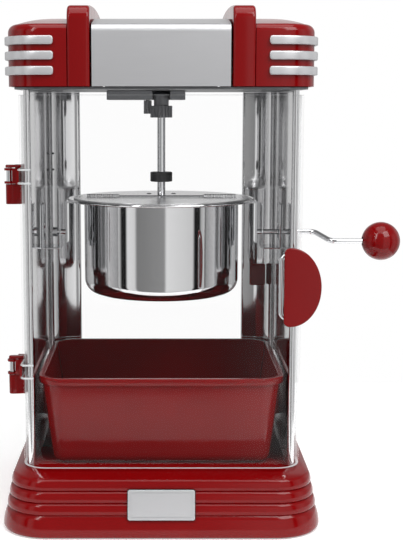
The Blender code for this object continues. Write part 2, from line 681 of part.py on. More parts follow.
# ---------------------------------------------------------------- tray
def build_tray():
    """A drawn tub with a rolled lip, tapering towards its floor."""
    half_x = WALL_INNER_X - TRAY_CLEARANCE - TRAY_LIP
    half_y = (TRAY_REAR - TRAY_FRONT) / 2 - TRAY_LIP
    centre = (0.0, (TRAY_REAR + TRAY_FRONT) / 2)
    bottom = DECK_HEIGHT + 2 * GAP
    top = bottom + TRAY_HEIGHT

    def plan(inset, z):
        outline = rounded_rectangle(half_x - inset, half_y - inset, TRAY_CORNER_RADIUS - inset, 5, centre)
        return level(outline, z)

    def wall(inset, floor, radius):
        """Rings from the rim's underside down to the floor, with a round floor edge."""
        rings = [plan(inset, top - TRAY_LIP_HEIGHT)]
        side = inset + TRAY_TAPER
        for i in range(4):
            a = pi / 2 * i / 3
            rings.append(plan(side + radius * (1 - cos(a)), floor + radius * (1 - sin(a))))
        return rings

    outer = wall(0.0, bottom, TRAY_FLOOR_RADIUS)
    inner = wall(TRAY_WALL, bottom + TRAY_WALL, TRAY_FLOOR_RADIUS - TRAY_WALL)
    edge = TRAY_LIP_EDGE
    rim = [
        plan(TRAY_WALL, top - edge),
        plan(TRAY_WALL - edge, top),
        plan(edge - TRAY_LIP, top),
        plan(-TRAY_LIP, top - edge),
        plan(-TRAY_LIP, top - TRAY_LIP_HEIGHT),
    ]
    tray = loft("popcorn_tray", list(reversed(inner)) + rim + outer, RED_PLASTIC)
    hang(axis_empty("tray_slide", (centre[0], centre[1], bottom)), [tray])


# ---------------------------------------------------------------- canopy
def roof_path(front, top, radius, rise, inset):
    """Half of a roof's side view, from its front lower edge over the shoulder to its crown, as (y, z)."""
    shoulder = (-(front - radius), top - radius)
    points = [(-(front - inset), CANOPY_BOTTOM)]
    points += arc(shoulder, radius - inset, 180, 90, 5)
    reach = front - radius
    for share in (0.25, 0.5, 0.75, 1.0):
        points.append((-reach * (1 - share), top - inset + rise * (1 - (1 - share) ** 2)))
    return points


def whole(path):
    """A side view's half path and its mirror image behind."""
    return path + [(-y, z) for y, z in reversed(path[:-1])]


def build_housing():
    """The middle sheet: bent up the front, over the top and down the back."""
    front, top, radius = CANOPY_HALF_DEPTH, CANOPY_TOP, CANOPY_EDGE_RADIUS
    outer = whole(roof_path(front, top, radius, CANOPY_RISE, 0.0))
    inner = whole(roof_path(front, top, radius, CANOPY_RISE, CANOPY_WALL))
    rings = []
    for (oy, oz), (iy, iz) in zip(outer, inner):
        x = HOUSING_HALF_WIDTH
        rings.append([Vector(p) for p in ((-x, oy, oz), (-x, iy, iz), (x, iy, iz), (x, oy, oz))])
    loft("canopy_housing", rings, SILVER_PAINT)


def build_arch(side, sign):
    """A raised band over the canopy, front to back, with rounded upper edges."""
    front = CANOPY_HALF_DEPTH + ARCH_PROUD
    top = CANOPY_TOP + ARCH_STAND
    low_x = ARCH_INNER_X
    high_x = low_x + ARCH_WIDTH
    edge = ARCH_EDGE_RADIUS
    outer = whole(roof_path(front, top, ARCH_SHOULDER, ARCH_RISE, 0.0))
    middle = whole(roof_path(front, top, ARCH_SHOULDER, ARCH_RISE, edge))
    inner = whole(roof_path(front, top, ARCH_DEPTH + GAP, ARCH_RISE, ARCH_DEPTH))
    rings = []
    for (oy, oz), (my, mz), (iy, iz) in zip(outer, middle, inner):
        section = [
            (low_x, iy, iz),
            (low_x, my, mz),
            (low_x + edge * 0.3, oy * 0.7 + my * 0.3, oz * 0.7 + mz * 0.3),
            (low_x + edge, oy, oz),
            (high_x - edge, oy, oz),
            (high_x - edge * 0.3, oy * 0.7 + my * 0.3, oz * 0.7 + mz * 0.3),
            (high_x, my, mz),
            (high_x, iy, iz),
        ]
        rings.append([Vector((sign * x, y, z)) for x, y, z in section])
    loft(f"canopy_arch_{side}", rings, RED_PLASTIC)


def cap_outline(inset, left_inset=0.0):
    """Plan of the right end cap: square where it meets the arch, round at its two outer corners."""
    left = END_CAP_INNER_X + left_inset
    radius = CANOPY_CORNER_RADIUS - inset
    x = CANOPY_HALF_WIDTH - inset
    y = CANOPY_HALF_DEPTH - inset
    front = arc((x - radius, -(y - radius)), radius, -90, 0, 7)
    rear = arc((x - radius, y - radius), radius, 0, 90, 7)
    return [(left, -y)] + front + rear + [(left, y)]


def build_cap(side, shape):
    edge = CANOPY_EDGE_RADIUS
    inside = cap_outline(CANOPY_WALL, CANOPY_WALL)
    rings = [level(shape(inside), z) for z in (CANOPY_TOP - edge, CANOPY_BOTTOM)]
    rings.append(level(shape(cap_outline(0.0)), CANOPY_BOTTOM))
    for i in range(5):
        a = pi / 2 * i / 4
        rings.append(level(shape(cap_outline(edge * (1 - cos(a)))), CANOPY_TOP - edge + edge * sin(a)))
    roof = cap_outline(edge)
    left = roof[0][0]
    for share in (0.75, 0.5, 0.25, 0.05):
        across = 0.3 + 0.7 * share
        narrowed = [(left + (x - left) * across, y * share) for x, y in roof]
        rings.append(level(shape(narrowed), CANOPY_TOP + CANOPY_RISE * (1 - share**2)))
    loft(f"canopy_end_{side}", rings, RED_PLASTIC)


def build_trim(side, sign):
    """Three bars let round each end cap, from the front over both corners to the back."""
    centre_x = CANOPY_HALF_WIDTH - CANOPY_CORNER_RADIUS
    centre_y = CANOPY_HALF_DEPTH - CANOPY_CORNER_RADIUS
    end_x = END_CAP_INNER_X + TRIM_TO_ARCH

    def path(out):
        radius = CANOPY_CORNER_RADIUS + out
        y = CANOPY_HALF_DEPTH + out
        front = arc((centre_x, -centre_y), radius, -90, 0, 7)
        rear = arc((centre_x, centre_y), radius, 0, 90, 7)
        points = [(end_x, -y)] + front + rear + [(end_x, y)]
        return [(sign * x, y) for x, y in points]

    outer, inner = path(GAP + TRIM_THICKNESS), path(GAP)
    for number in range(TRIM_COUNT):
        bottom = CANOPY_BOTTOM + TRIM_LOWEST + TRIM_PITCH * number
        bar = ribbon(f"trim_bar_{side}_{number + 1}", outer, inner, bottom, bottom + TRIM_HEIGHT, SILVER_PAINT)
        soften(bar, 0.0008, 1)


def build_canopy():
    build_housing()
    for side, sign, shape in (("left", -1, mirrored), ("right", 1, list)):
        build_arch(side, sign)
        build_cap(side, shape)
        build_trim(side, sign)
    inset = PAN_INSET
    outline = rounded_rectangle(
        CANOPY_HALF_WIDTH - inset, CANOPY_HALF_DEPTH - inset, CANOPY_CORNER_RADIUS - inset
    )
    pan = slab("canopy_pan", outline, PAN_BOTTOM, PAN_BOTTOM + PAN_THICKNESS, GREY_METAL)
    hole = (PINION_X, KETTLE_Y, PAN_BOTTOM - GAP)
    cut(pan, rod("pan_hole_cutter", PAN_HOLE_RADIUS, hole, PAN_THICKNESS + 2 * GAP, GREY_METAL))


def build_rear_fittings():
    """The power switch and the cord's gland, on the housing's back."""
    face = CANOPY_HALF_DEPTH + GAP
    width, height = SWITCH_SIZE
    z = CANOPY_BOTTOM + SWITCH_ABOVE_CANOPY
    bezel = block(
        "switch_bezel",
        (SWITCH_X - width / 2, face, z - height / 2),
        (SWITCH_X + width / 2, face + 0.0030, z + height / 2),
        DARK_PLASTIC,
    )
    well = block(
        "switch_well_cutter",
        (SWITCH_X - width / 2 + 0.0020, face + 0.0008, z - height / 2 + 0.0020),
        (SWITCH_X + width / 2 - 0.0020, face + 0.0050, z + height / 2 - 0.0020),
        DARK_PLASTIC,
    )
    cut(bezel, well)
    half_x = width / 2 - 0.0026
    half_z = height / 2 - 0.0028
    crest = face + 0.0046
    side = [
        (face + 0.0024, -half_z),
        (crest, -half_z),
        (crest - 0.0010, 0.0),
        (crest, half_z),
        (face + 0.0024, half_z),
        (face + 0.0016, 0.0),
    ]
    rings = [[Vector((SWITCH_X + x, y, z + h)) for y, h in side] for x in (-half_x, half_x)]
    pivot = Vector((SWITCH_X, face + 0.0020, z))
    lean = Matrix.Translation(pivot) @ Matrix.Rotation(ROCKER_LEAN, 4, "X") @ Matrix.Translation(-pivot)
    rocker = loft("switch_rocker", [[lean @ point for point in ring] for ring in rings], RED_PLASTIC)
    hang(axis_empty("rocker_axis", pivot), [rocker])

    profile = [
        (GLAND_RADIUS * 0.45, GLAND_LENGTH),
        (GLAND_RADIUS * 0.45, 0.0010),
        (0.0010, 0.0010),
    ]
    outside = [(0.0010, 0.0), (GLAND_RADIUS, 0.0), (GLAND_RADIUS, 0.0030), (GLAND_RADIUS * 0.7, GLAND_LENGTH)]
    turned(
        "cord_gland",
        list(reversed(profile)) + list(reversed(outside)),
        DARK_PLASTIC,
        (GLAND_X, face, CANOPY_BOTTOM + GLAND_ABOVE_CANOPY),
        20,
        "Y",
    )


# ---------------------------------------------------------------- kettle
def quarter(centre_r, centre_z, radius, start, end, steps=3):
    return arc((centre_r, centre_z), radius, start, end, steps)


def build_kettle():
    bottom = PIVOT_HEIGHT - KETTLE_BELOW
    centre = (0.0, KETTLE_Y, 0.0)
    edge, skin, radius = KETTLE_EDGE_RADIUS, KETTLE_SKIN, KETTLE_RADIUS
    shell_top = FLANGE_Z - GAP - skin
    outside = quarter(radius - edge, bottom + edge, edge, -90, 0) + [(radius, shell_top)]
    inside = quarter(radius - edge, bottom + edge, edge - skin, -90, 0) + [(radius - skin, shell_top)]
    shell = turned("kettle_shell", outside + list(reversed(inside)), CHROME, centre, KETTLE_SIDES)

    floor = PIVOT_HEIGHT - BOWL_FLOOR_BELOW
    corner = BOWL_EDGE_RADIUS
    bead = quarter(FLANGE_RADIUS, FLANGE_Z + skin / 2, BEAD_RADIUS, -150, 150, 4)
    outer_wall = quarter(BOWL_RADIUS - corner, floor + corner, corner, -90, 0)
    inner_wall = quarter(BOWL_RADIUS - corner, floor + corner, corner - skin, 0, -90)
    under = [(r, z) for r, z in outer_wall] + [(BOWL_RADIUS, FLANGE_Z)]
    over = [(BOWL_RADIUS - skin, FLANGE_Z + skin)] + inner_wall
    bowl = turned("kettle_bowl", under + bead + over, CHROME, centre, KETTLE_SIDES)

    heater_z = (bottom + skin + floor) / 2
    ring = quarter(BOWL_RADIUS - HEATER_INSET, heater_z, HEATER_ROD, 0, 360, 6)[:-1]
    heater = turned("heating_ring", ring, GREY_METAL, centre, 24, closed=True)
    low = bottom + skin + GAP
    sensor = rod("thermostat", THERMOSTAT_RADIUS, (0.0, KETTLE_Y, low), floor - GAP - low, DARK_PLASTIC)

    lugs = [build_lug(side, sign) for side, sign in (("left", -1), ("right", 1))]
    pin = build_trunnion()
    crank = build_crank()
    return [shell, bowl, heater, sensor, *lugs, pin, *crank]


def build_lug(side, sign):
    """An angle under the flange that carries the pivot."""
    top = FLANGE_Z + KETTLE_SKIN / 2 - BEAD_RADIUS - GAP
    inner = FLANGE_RADIUS - LUG_TAB_REACH
    y0, y1 = KETTLE_Y - LUG_HALF_WIDTH, KETTLE_Y + LUG_HALF_WIDTH
    spans = {
        f"kettle_lug_{side}": ((LUG_X - LUG_THICKNESS, LUG_X), (PIVOT_HEIGHT - LUG_BELOW, top)),
        f"lug_tab_{side}": ((inner, LUG_X - LUG_THICKNESS / 2), (top - LUG_THICKNESS, top - GAP / 2)),
    }
    parts = []
    for name, ((x0, x1), (z0, z1)) in spans.items():
        low_x, high_x = sorted((sign * x0, sign * x1))
        parts.append(block(name, (low_x, y0, z0), (high_x, y1, z1), CHROME))
    join(parts[0], parts[1])
    soften(parts[0], 0.0006, 1)
    return parts[0]


def build_trunnion():
    """The left pivot: a pin from the lug through the hanger's slot, with a head."""
    start = -(LUG_X + GAP)
    head, tip = (-(HANGER_X + HANGER_SHEET + past) for past in PIVOT_HEAD_SPAN)
    r = PIVOT_PIN_RADIUS
    profile = [(r, start), (r, head), (PIVOT_HEAD_RADIUS, head), (PIVOT_HEAD_RADIUS, tip)]
    return turned("trunnion_pin", profile, CHROME, (0.0, KETTLE_Y, PIVOT_HEIGHT), 20, "X")


def build_crank():
    """The right pivot: a bent rod through the hanger and the wall, with a ball to turn it by."""
    y, z = KETTLE_Y, PIVOT_HEIGHT
    bend_x = CABINET_HALF_WIDTH + CRANK_STRAIGHT
    knob_x = CABINET_HALF_WIDTH + CRANK_LENGTH - KNOB_RADIUS
    corners = [
        Vector((LUG_X + GAP, y, z)),
        Vector((bend_x, y, z)),
        Vector((bend_x + CRANK_BEND[0], y + CRANK_BEND[1], z + CRANK_BEND[2])),
        Vector((knob_x - KNOB_RADIUS * (1 - KNOB_SOCKET), y + CRANK_BEND[1], z + CRANK_BEND[2])),
    ]
    path = [corners[0]]
    for before, corner, after in zip(corners, corners[1:], corners[2:]):
        start = corner + (before - corner).normalized() * CRANK_BEND_SETBACK
        end = corner + (after - corner).normalized() * CRANK_BEND_SETBACK
        for i in range(5):
            t = i / 4
            path.append(start * (1 - t) ** 2 + corner * 2 * t * (1 - t) + end * t**2)
    path.append(corners[-1])

    curve = bpy.data.curves.new("crank_rod", "CURVE")
    curve.dimensions = "3D"
    curve.bevel_depth = CRANK_RADIUS
    curve.bevel_resolution = 3
    curve.use_fill_caps = True
    spline = curve.splines.new("POLY")
    spline.points.add(len(path) - 1)
    for point, place in zip(spline.points, path):
        point.co = (*place, 1.0)
    curve.materials.append(CHROME)
    bar = bpy.data.objects.new("crank_rod", curve)
    bpy.context.scene.collection.objects.link(bar)

    ball_at = Vector((knob_x, y + CRANK_BEND[1], z + CRANK_BEND[2]))
    shape = bmesh.new()
    bmesh.ops.create_uvsphere(shape, u_segments=20, v_segments=12, radius=KNOB_RADIUS)
    bmesh.ops.rotate(shape, verts=shape.verts, matrix=Matrix.Rotation(pi / 2, 3, "Y"))
    bmesh.ops.translate(shape, verts=shape.verts, vec=ball_at)
    mesh = bpy.data.meshes.new("crank_knob")
    shape.to_mesh(mesh)
    shape.free()
    knob = add_object("crank_knob", mesh, RED_PLASTIC)
    socket = (knob_x - KNOB_RADIUS - GAP, ball_at.y, ball_at.z)
    depth = KNOB_RADIUS * KNOB_SOCKET + 2 * GAP
    cut(knob, rod("knob_socket_cutter", CRANK_RADIUS + GAP, socket, depth, CHROME, "X"))
    return [bar, knob]


def build_hanger(side, sign):
    """A bent strip against the wall, whose inner leg has a slot that the kettle's pivot hangs in."""
    wall = WALL_INNER_X - GAP
    low, high = (PIVOT_HEIGHT + z for z in HANGER_SPAN)

    def path(inset):
        inner, outer = HANGER_X + inset, wall - inset
        points = ((inner, high), (inner, low + inset), (outer, low + inset), (outer, high))
        return [(sign * x, z) for x, z in points]

    outline = path(0.0) + path(HANGER_SHEET)[::-1]
    ys = (KETTLE_Y - HANGER_HALF_WIDTH, KETTLE_Y + HANGER_HALF_WIDTH)
    hanger = loft(f"hanger_{side}", [[Vector((x, y, z)) for x, z in outline] for y in ys], CHROME)
    reach = SLOT_LENGTH
    ends = arc((KETTLE_Y, PIVOT_HEIGHT), SLOT_HALF_WIDTH, 180, 360, 8)
    ends += arc((KETTLE_Y, PIVOT_HEIGHT + reach), SLOT_HALF_WIDTH, 0, 180, 8)
    xs = (sign * (HANGER_X - GAP), sign * (wall + GAP))
    slot = loft(f"slot_cutter_{side}", [[Vector((x, y, z)) for y, z in ends] for x in xs], CHROME)
    cut(hanger, slot)
    clear_x = min(sign * (wall - HANGER_SHEET - GAP), sign * (wall + GAP))
    clear = (clear_x, KETTLE_Y, PIVOT_HEIGHT)
    cut(hanger, rod(f"bush_clearance_{side}", BUSH_FLANGE_RADIUS, clear, HANGER_SHEET + 2 * GAP, CHROME, "X"))


# ---------------------------------------------------------------- lid
def half_disc(front):
    """The lid's front or rear half, up to a narrow gap at the hinge line."""
    radius = FLANGE_RADIUS - LID_SETBACK
    away = LID_HINGE_FORWARD
    edge = LID_HINGE_Y + (-GAP if front else GAP) / 2
    lift = atan2(away, radius)
    if front:
        outline = arc((0.0, KETTLE_Y), radius, 180 + lift * 180 / pi, 360 - lift * 180 / pi, 28)
    else:
        outline = arc((0.0, KETTLE_Y), radius, -lift * 180 / pi, 180 + lift * 180 / pi, 32)
    return [(x, min(y, edge) if front else max(y, edge)) for x, y in outline]


def build_lid():
    bottom = FLANGE_Z + KETTLE_SKIN + GAP
    top = bottom + LID_THICKNESS
    pin_z = top + LID_KNUCKLE_RADIUS * 0.6
    inner, middle, outer = (FLANGE_RADIUS - inset for inset in LID_KNUCKLE_INSETS)
    rear = slab("lid_rear", half_disc(False), bottom, top, CHROME)
    flap = slab("lid_flap", half_disc(True), bottom, top, CHROME)
    pin_place = (-outer, LID_HINGE_Y, pin_z)
    room = LID_KNUCKLE_RADIUS + 2 * GAP
    for half, other, spans in ((rear, flap, (inner, middle - GAP)), (flap, rear, (middle, outer))):
        for side, sign in (("left", -1), ("right", 1)):
            length = spans[1] - spans[0]
            place = Vector((min(sign * spans[0], sign * spans[1]), LID_HINGE_Y, pin_z))
            name = f"{half.name}_knuckle_{side}"
            start = place - Vector((GAP, 0.0, 0.0))
            cut(other, rod(f"{name}_notch", room, start, length + 2 * GAP, CHROME, "X", 12))
            join(half, rod(name, LID_KNUCKLE_RADIUS, place, length, CHROME, "X", 12))
    for half, name in ((rear, "rear"), (flap, "flap")):
        start = (pin_place[0] - 2 * GAP, LID_HINGE_Y, pin_z)
        bore = rod(f"lid_{name}_bore", LID_PIN_RADIUS + GAP, start, 2 * (outer + 2 * GAP), CHROME, "X", 12)
        cut(half, bore)
    hole = (0.0, KETTLE_Y, bottom - GAP)
    radius = SHAFT_RADIUS + SHAFT_HOLE_CLEARANCE
    cut(rear, rod("shaft_hole_cutter", radius, hole, LID_THICKNESS + 2 * GAP, CHROME))
    pin = rod("lid_hinge_pin", LID_PIN_RADIUS, pin_place, 2 * outer, CHROME, "X", 12)
    return rear, flap, pin, pin_z


# ---------------------------------------------------------------- stirrer and drive
def gear_outline(teeth, pitch_radius, addendum, dedendum, phase):
    """Plain straight-flanked teeth; phase is the angle of the first tooth's middle."""
    step = 2 * pi / teeth
    points = []
    for tooth in range(teeth):
        for share, radius in (
            (-0.29, pitch_radius - dedendum),
            (-0.11, pitch_radius + addendum),
            (0.11, pitch_radius + addendum),
            (0.29, pitch_radius - dedendum),
        ):
            angle = phase + step * (tooth + share)
            points.append((radius * cos(angle), radius * sin(angle)))
    return points


def build_stirrer():
    pitch = GEAR_TEETH * TOOTH_MODULE / 2
    outline = gear_outline(GEAR_TEETH, pitch, TOOTH_MODULE * 0.9, TOOTH_MODULE * 1.15, 0.0)
    outline = [(x, y + KETTLE_Y) for x, y in outline]
    gear = slab("stir_gear", outline, GEAR_Z, GEAR_Z + GEAR_HEIGHT, DARK_PLASTIC)
    hub_start = (0.0, KETTLE_Y, GEAR_Z + GEAR_HEIGHT - 0.0020)
    join(gear, rod("gear_hub", HUB_RADIUS, hub_start, HUB_HEIGHT + 0.0020, DARK_PLASTIC))
    bore = (0.0, KETTLE_Y, GEAR_Z - 0.0020)
    depth = GEAR_HEIGHT + 0.0050
    cut(gear, rod("gear_bore_cutter", SHAFT_RADIUS + GAP, bore, depth + 0.0020, DARK_PLASTIC))

    floor = PIVOT_HEIGHT - BOWL_FLOOR_BELOW + KETTLE_SKIN
    start = floor + GAP
    shaft_top = GEAR_Z + depth - GAP
    shaft = rod("stir_shaft", SHAFT_RADIUS, (0.0, KETTLE_Y, start), shaft_top - start, CHROME)

    inner = SHAFT_RADIUS + GAP
    z = PIVOT_HEIGHT + COLLAR_ABOVE_PIVOT
    ring = [(inner, 0.0), (COLLAR_RADIUS, 0.0), (COLLAR_RADIUS, COLLAR_HEIGHT), (inner, COLLAR_HEIGHT)]
    collar = turned("shaft_collar", ring, DARK_PLASTIC, (0.0, KETTLE_Y, z), 28, closed=True)

    width, height = BLADE_SIZE
    low = floor + BLADE_ABOVE_FLOOR
    reach = BOWL_RADIUS - BLADE_CLEARANCE
    blade = block(
        "stir_blade",
        (-reach, KETTLE_Y - width / 2, low),
        (reach, KETTLE_Y + width / 2, low + height),
        CHROME,
    )
    join(blade, rod("blade_hub", width * 0.75, (0.0, KETTLE_Y, low), height + 0.0060, CHROME))
    hub_bore = (0.0, KETTLE_Y, low - 0.0010)
    cut(blade, rod("blade_bore_cutter", inner, hub_bore, height + 0.0090, CHROME))
    return [gear, shaft, collar, blade]


def build_drive():
    """The box under the canopy with its notch, the gearbox and motor above it, and the pinion."""
    low_x, high_x = BOX_SPAN_X
    front, rear = BOX_SPAN_Y
    top = PAN_BOTTOM - GAP
    bottom = top - BOX_HEIGHT
    notch = HUB_RADIUS + NOTCH_CLEARANCE
    deep = arc((0.0, KETTLE_Y), notch, 0, 180, 10)
    outline = [(low_x, front), (-notch, front)] + list(reversed(deep))
    outline += [(notch, front), (high_x, front), (high_x, rear), (low_x, rear)]
    box = slab("drive_box", outline, bottom, top, GREY_PLASTIC)
    hole = (PINION_X, KETTLE_Y, bottom - 0.0010)
    cut(box, rod("box_hole_cutter", 0.0030, hole, BOX_HEIGHT + 0.0020, GREY_PLASTIC))

    floor = PAN_BOTTOM + PAN_THICKNESS + GAP
    width, depth, height = GEARBOX_SIZE
    case = block(
        "gearbox",
        (PINION_X - width / 2, KETTLE_Y - depth / 2, floor),
        (PINION_X + width / 2, KETTLE_Y + depth / 2, floor + height),
        GREY_METAL,
        bevel=0.0010,
    )
    shaft_hole = (PINION_X, KETTLE_Y, floor - 0.0010)
    cut(case, rod("gearbox_bore_cutter", 0.0024, shaft_hole, 0.0090, GREY_METAL))
    rod("stir_motor", MOTOR_RADIUS, (PINION_X, KETTLE_Y, floor + height + GAP), MOTOR_HEIGHT, GREY_METAL, steps=28)

    pitch = PINION_TEETH * TOOTH_MODULE / 2
    phase = pi / PINION_TEETH
    outline = gear_outline(PINION_TEETH, pitch, TOOTH_MODULE * 0.9, TOOTH_MODULE * 1.0, phase)
    outline = [(x + PINION_X, y + KETTLE_Y) for x, y in outline]
    z = GEAR_Z + PINION_ABOVE_GEAR
    pinion_top = min(z + PINION_HEIGHT, bottom - GAP)
    pinion = slab("drive_pinion", outline, z, pinion_top, DARK_PLASTIC)
    spindle = (PINION_X, KETTLE_Y, pinion_top - 0.0020)
    join(pinion, rod("pinion_spindle", 0.0016, spindle, floor + 0.0070 - pinion_top + 0.0020, GREY_METAL, steps=14))
    hang(axis_empty("pinion_axis", (PINION_X, KETTLE_Y, z)), [pinion])


# ---------------------------------------------------------------- assembly
def main():
    for old in list(bpy.data.objects):
        bpy.data.objects.remove(old, do_unlink=True)
    build_base()
    build_name_plate()
    build_walls()
    build_door()
    build_tray()
    build_canopy()
    build_rear_fittings()
    for side, sign in (("left", -1), ("right", 1)):
        build_hanger(side, sign)
    kettle = build_kettle()
    lid_rear, lid_flap, lid_pin, lid_pin_z = build_lid()
    kettle_axis = axis_empty("kettle_axis", (0.0, KETTLE_Y, PIVOT_HEIGHT))
    hang(kettle_axis, [*kettle, lid_rear, lid_pin])
    hang(axis_empty("lid_axis", (0.0, LID_HINGE_Y, lid_pin_z)), [lid_flap])
    hang(axis_empty("stir_axis", (0.0, KETTLE_Y, PIVOT_HEIGHT)), build_stirrer())
    build_drive()


main()
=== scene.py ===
"""The finished look of a tabletop popcorn maker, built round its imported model.

Metres. +X is the maker's right, -Y its front, +Z up. Sections follow the order in which it is put together.
"""

from math import asin, atan2, cos, pi, radians, sin, sqrt

import bmesh
import bpy
from mathutils import Matrix, Vector


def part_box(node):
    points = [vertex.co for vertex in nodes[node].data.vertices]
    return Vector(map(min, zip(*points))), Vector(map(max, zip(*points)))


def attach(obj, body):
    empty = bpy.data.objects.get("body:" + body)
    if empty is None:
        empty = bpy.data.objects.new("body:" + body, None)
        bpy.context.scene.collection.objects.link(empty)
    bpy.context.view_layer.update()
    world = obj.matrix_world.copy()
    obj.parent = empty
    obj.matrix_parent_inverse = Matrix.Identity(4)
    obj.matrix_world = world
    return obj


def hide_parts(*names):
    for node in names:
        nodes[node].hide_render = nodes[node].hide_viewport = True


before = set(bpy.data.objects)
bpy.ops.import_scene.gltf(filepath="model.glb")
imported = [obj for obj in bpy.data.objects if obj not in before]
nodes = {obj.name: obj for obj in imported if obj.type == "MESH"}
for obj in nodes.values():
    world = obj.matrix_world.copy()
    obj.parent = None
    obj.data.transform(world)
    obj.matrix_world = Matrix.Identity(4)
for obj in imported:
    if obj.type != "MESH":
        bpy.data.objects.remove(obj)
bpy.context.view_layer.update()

scene = bpy.context.scene

# ---------------------------------------------------------------- camera
# A long lens from a little above the kettle's height, square to the front. The maker stands left of the
# picture's middle, because the crank's ball reaches far out on the right.
LENS_MM = 78.67
SENSOR_MM = 36.0
LENS_SHIFT = 0.0744                 # share of the frame's longer side
CAMERA_PLACE = (0.0, -1.112, 0.372)
CAMERA_TILT = radians(7.91)         # below level

camera = bpy.data.cameras.new("camera")
camera.sensor_width = SENSOR_MM
camera.lens = LENS_MM
camera.shift_x = LENS_SHIFT
tripod = bpy.data.objects.new("camera", camera)
tripod.location = CAMERA_PLACE
tripod.rotation_euler = (pi / 2 - CAMERA_TILT, 0.0, 0.0)
scene.collection.objects.link(tripod)
scene.camera = tripod
scene.view_settings.view_transform = "Standard"


# ---------------------------------------------------------------- studio
# A white sweep with a grey card over the lens and two dark flags beside it, which is what gives polished
# metal its bands. A large soft light hangs above, a square one stands at the right and a strip at the left.
def linear(hex_colour):
    """An sRGB hex colour as linear red, green, blue and alpha."""
    shares = [int(hex_colour[i : i + 2], 16) / 255 for i in (1, 3, 5)]
    return (*[s / 12.92 if s <= 0.04045 else ((s + 0.055) / 1.055) ** 2.4 for s in shares], 1.0)


def add_node(tree, kind, inputs=None, **settings):
    """Adds a node, makes its settings, and sets each input to a value or links it to another node's output."""
    node = tree.nodes.new("ShaderNode" + kind)
    for name, value in settings.items():
        setattr(node, name, value)
    for name, value in (inputs or {}).items():
        if isinstance(value, bpy.types.NodeSocket):
            tree.links.new(value, node.inputs[name])
        else:
            node.inputs[name].default_value = value
    return node


def set_ramp(node, stops, interpolation="LINEAR"):
    """Gives a colour ramp its stops, as (position, hex colour)."""
    ramp = node.color_ramp
    ramp.interpolation = interpolation
    while len(ramp.elements) < len(stops):
        ramp.elements.new(1.0)
    for element, (position, colour) in zip(ramp.elements, stops):
        element.position = position
        element.color = linear(colour)


SKY_STOPS = [(-180, "#e4e4e4"), (-150, "#b4b4b4"), (-125, "#ececec"), (-98, "#b4b4b4"), (-78, "#ffffff"), (-64, "#c8c8c8"),
             (-61, "#0c0c0c"), (-54, "#0c0c0c"), (-51, "#ffffff"), (-40, "#f4f4f4"), (-36, "#8c8c8c"),
             (4, "#a0a0a0"), (8, "#ffffff"), (47, "#e8e8e8"), (50, "#101010"), (58, "#101010"), (61, "#c8c8c8"),
             (80, "#ffffff"), (98, "#b4b4b4"), (125, "#ececec"), (150, "#b4b4b4"), (180, "#e4e4e4")]

studio = bpy.data.worlds.new("studio")
studio.use_nodes = True
scene.world = studio
tree = studio.node_tree
tree.nodes.clear()
towards = add_node(tree, "TexCoord")
parts = add_node(tree, "SeparateXYZ", {0: towards.outputs["Generated"]})
behind = add_node(tree, "Math", {0: parts.outputs["Y"], 1: -1.0}, operation="MULTIPLY")
turn = add_node(tree, "Math", {0: parts.outputs["X"], 1: behind.outputs[0]}, operation="ARCTAN2")
share = add_node(tree, "MapRange", {0: turn.outputs[0], 1: -pi, 2: pi, 3: 0.0, 4: 1.0})
walls_ramp = add_node(tree, "ValToRGB", {0: share.outputs[0]})
set_ramp(walls_ramp, [((turn_deg + 180) / 360, colour) for turn_deg, colour in SKY_STOPS])
height = add_node(tree, "MapRange", {0: parts.outputs["Z"], 1: 0.40, 2: 0.62, 3: 0.0, 4: 1.0})
upper = add_node(tree, "Mix", {0: height.outputs[0], 6: walls_ramp.outputs[0], 7: linear("#8e8e8e")},
                 data_type="RGBA")
depth = add_node(tree, "MapRange", {0: parts.outputs["Z"], 1: -0.50, 2: -0.80, 3: 0.0, 4: 1.0})
lower = add_node(tree, "Mix", {0: depth.outputs[0], 6: upper.outputs[2], 7: linear("#9a9a9a")},
                 data_type="RGBA")
reflected = add_node(tree, "Background", {0: lower.outputs[2], 1: 1.0})
backdrop = add_node(tree, "Background", {0: linear("#ffffff"), 1: 1.0})
seen = add_node(tree, "LightPath")
either = add_node(tree, "MixShader", {0: seen.outputs["Is Camera Ray"], 1: reflected.outputs[0],
                                      2: backdrop.outputs[0]})
add_node(tree, "OutputWorld", {0: either.outputs[0]})


def soft_light(name, turn_deg, rise_deg, distance, size, power):
    """A square or strip light, aimed at the kettle from a bearing round the front and a height above it."""
    lamp = bpy.data.lights.new(name, "AREA")
    lamp.shape = "RECTANGLE"
    lamp.size, lamp.size_y = size
    lamp.energy = power
    stand = bpy.data.objects.new(name, lamp)
    bearing, rise = radians(turn_deg), radians(rise_deg)
    back = Vector((sin(bearing) * cos(rise), -cos(bearing) * cos(rise), sin(rise)))
    stand.location = Vector((0.0, 0.0, 0.25)) + back * distance
    stand.rotation_mode = "QUATERNION"
    stand.rotation_quaternion = (-back).to_track_quat("-Z", "Y")
    stand.visible_camera = False
    scene.collection.objects.link(stand)


soft_light("top_light", 0, 78, 1.6, (1.5, 1.5), 17)
soft_light("square_light", 39, 42, 1.5, (0.80, 0.80), 14)
soft_light("strip_light", -33, 35, 1.5, (0.16, 0.9), 5)

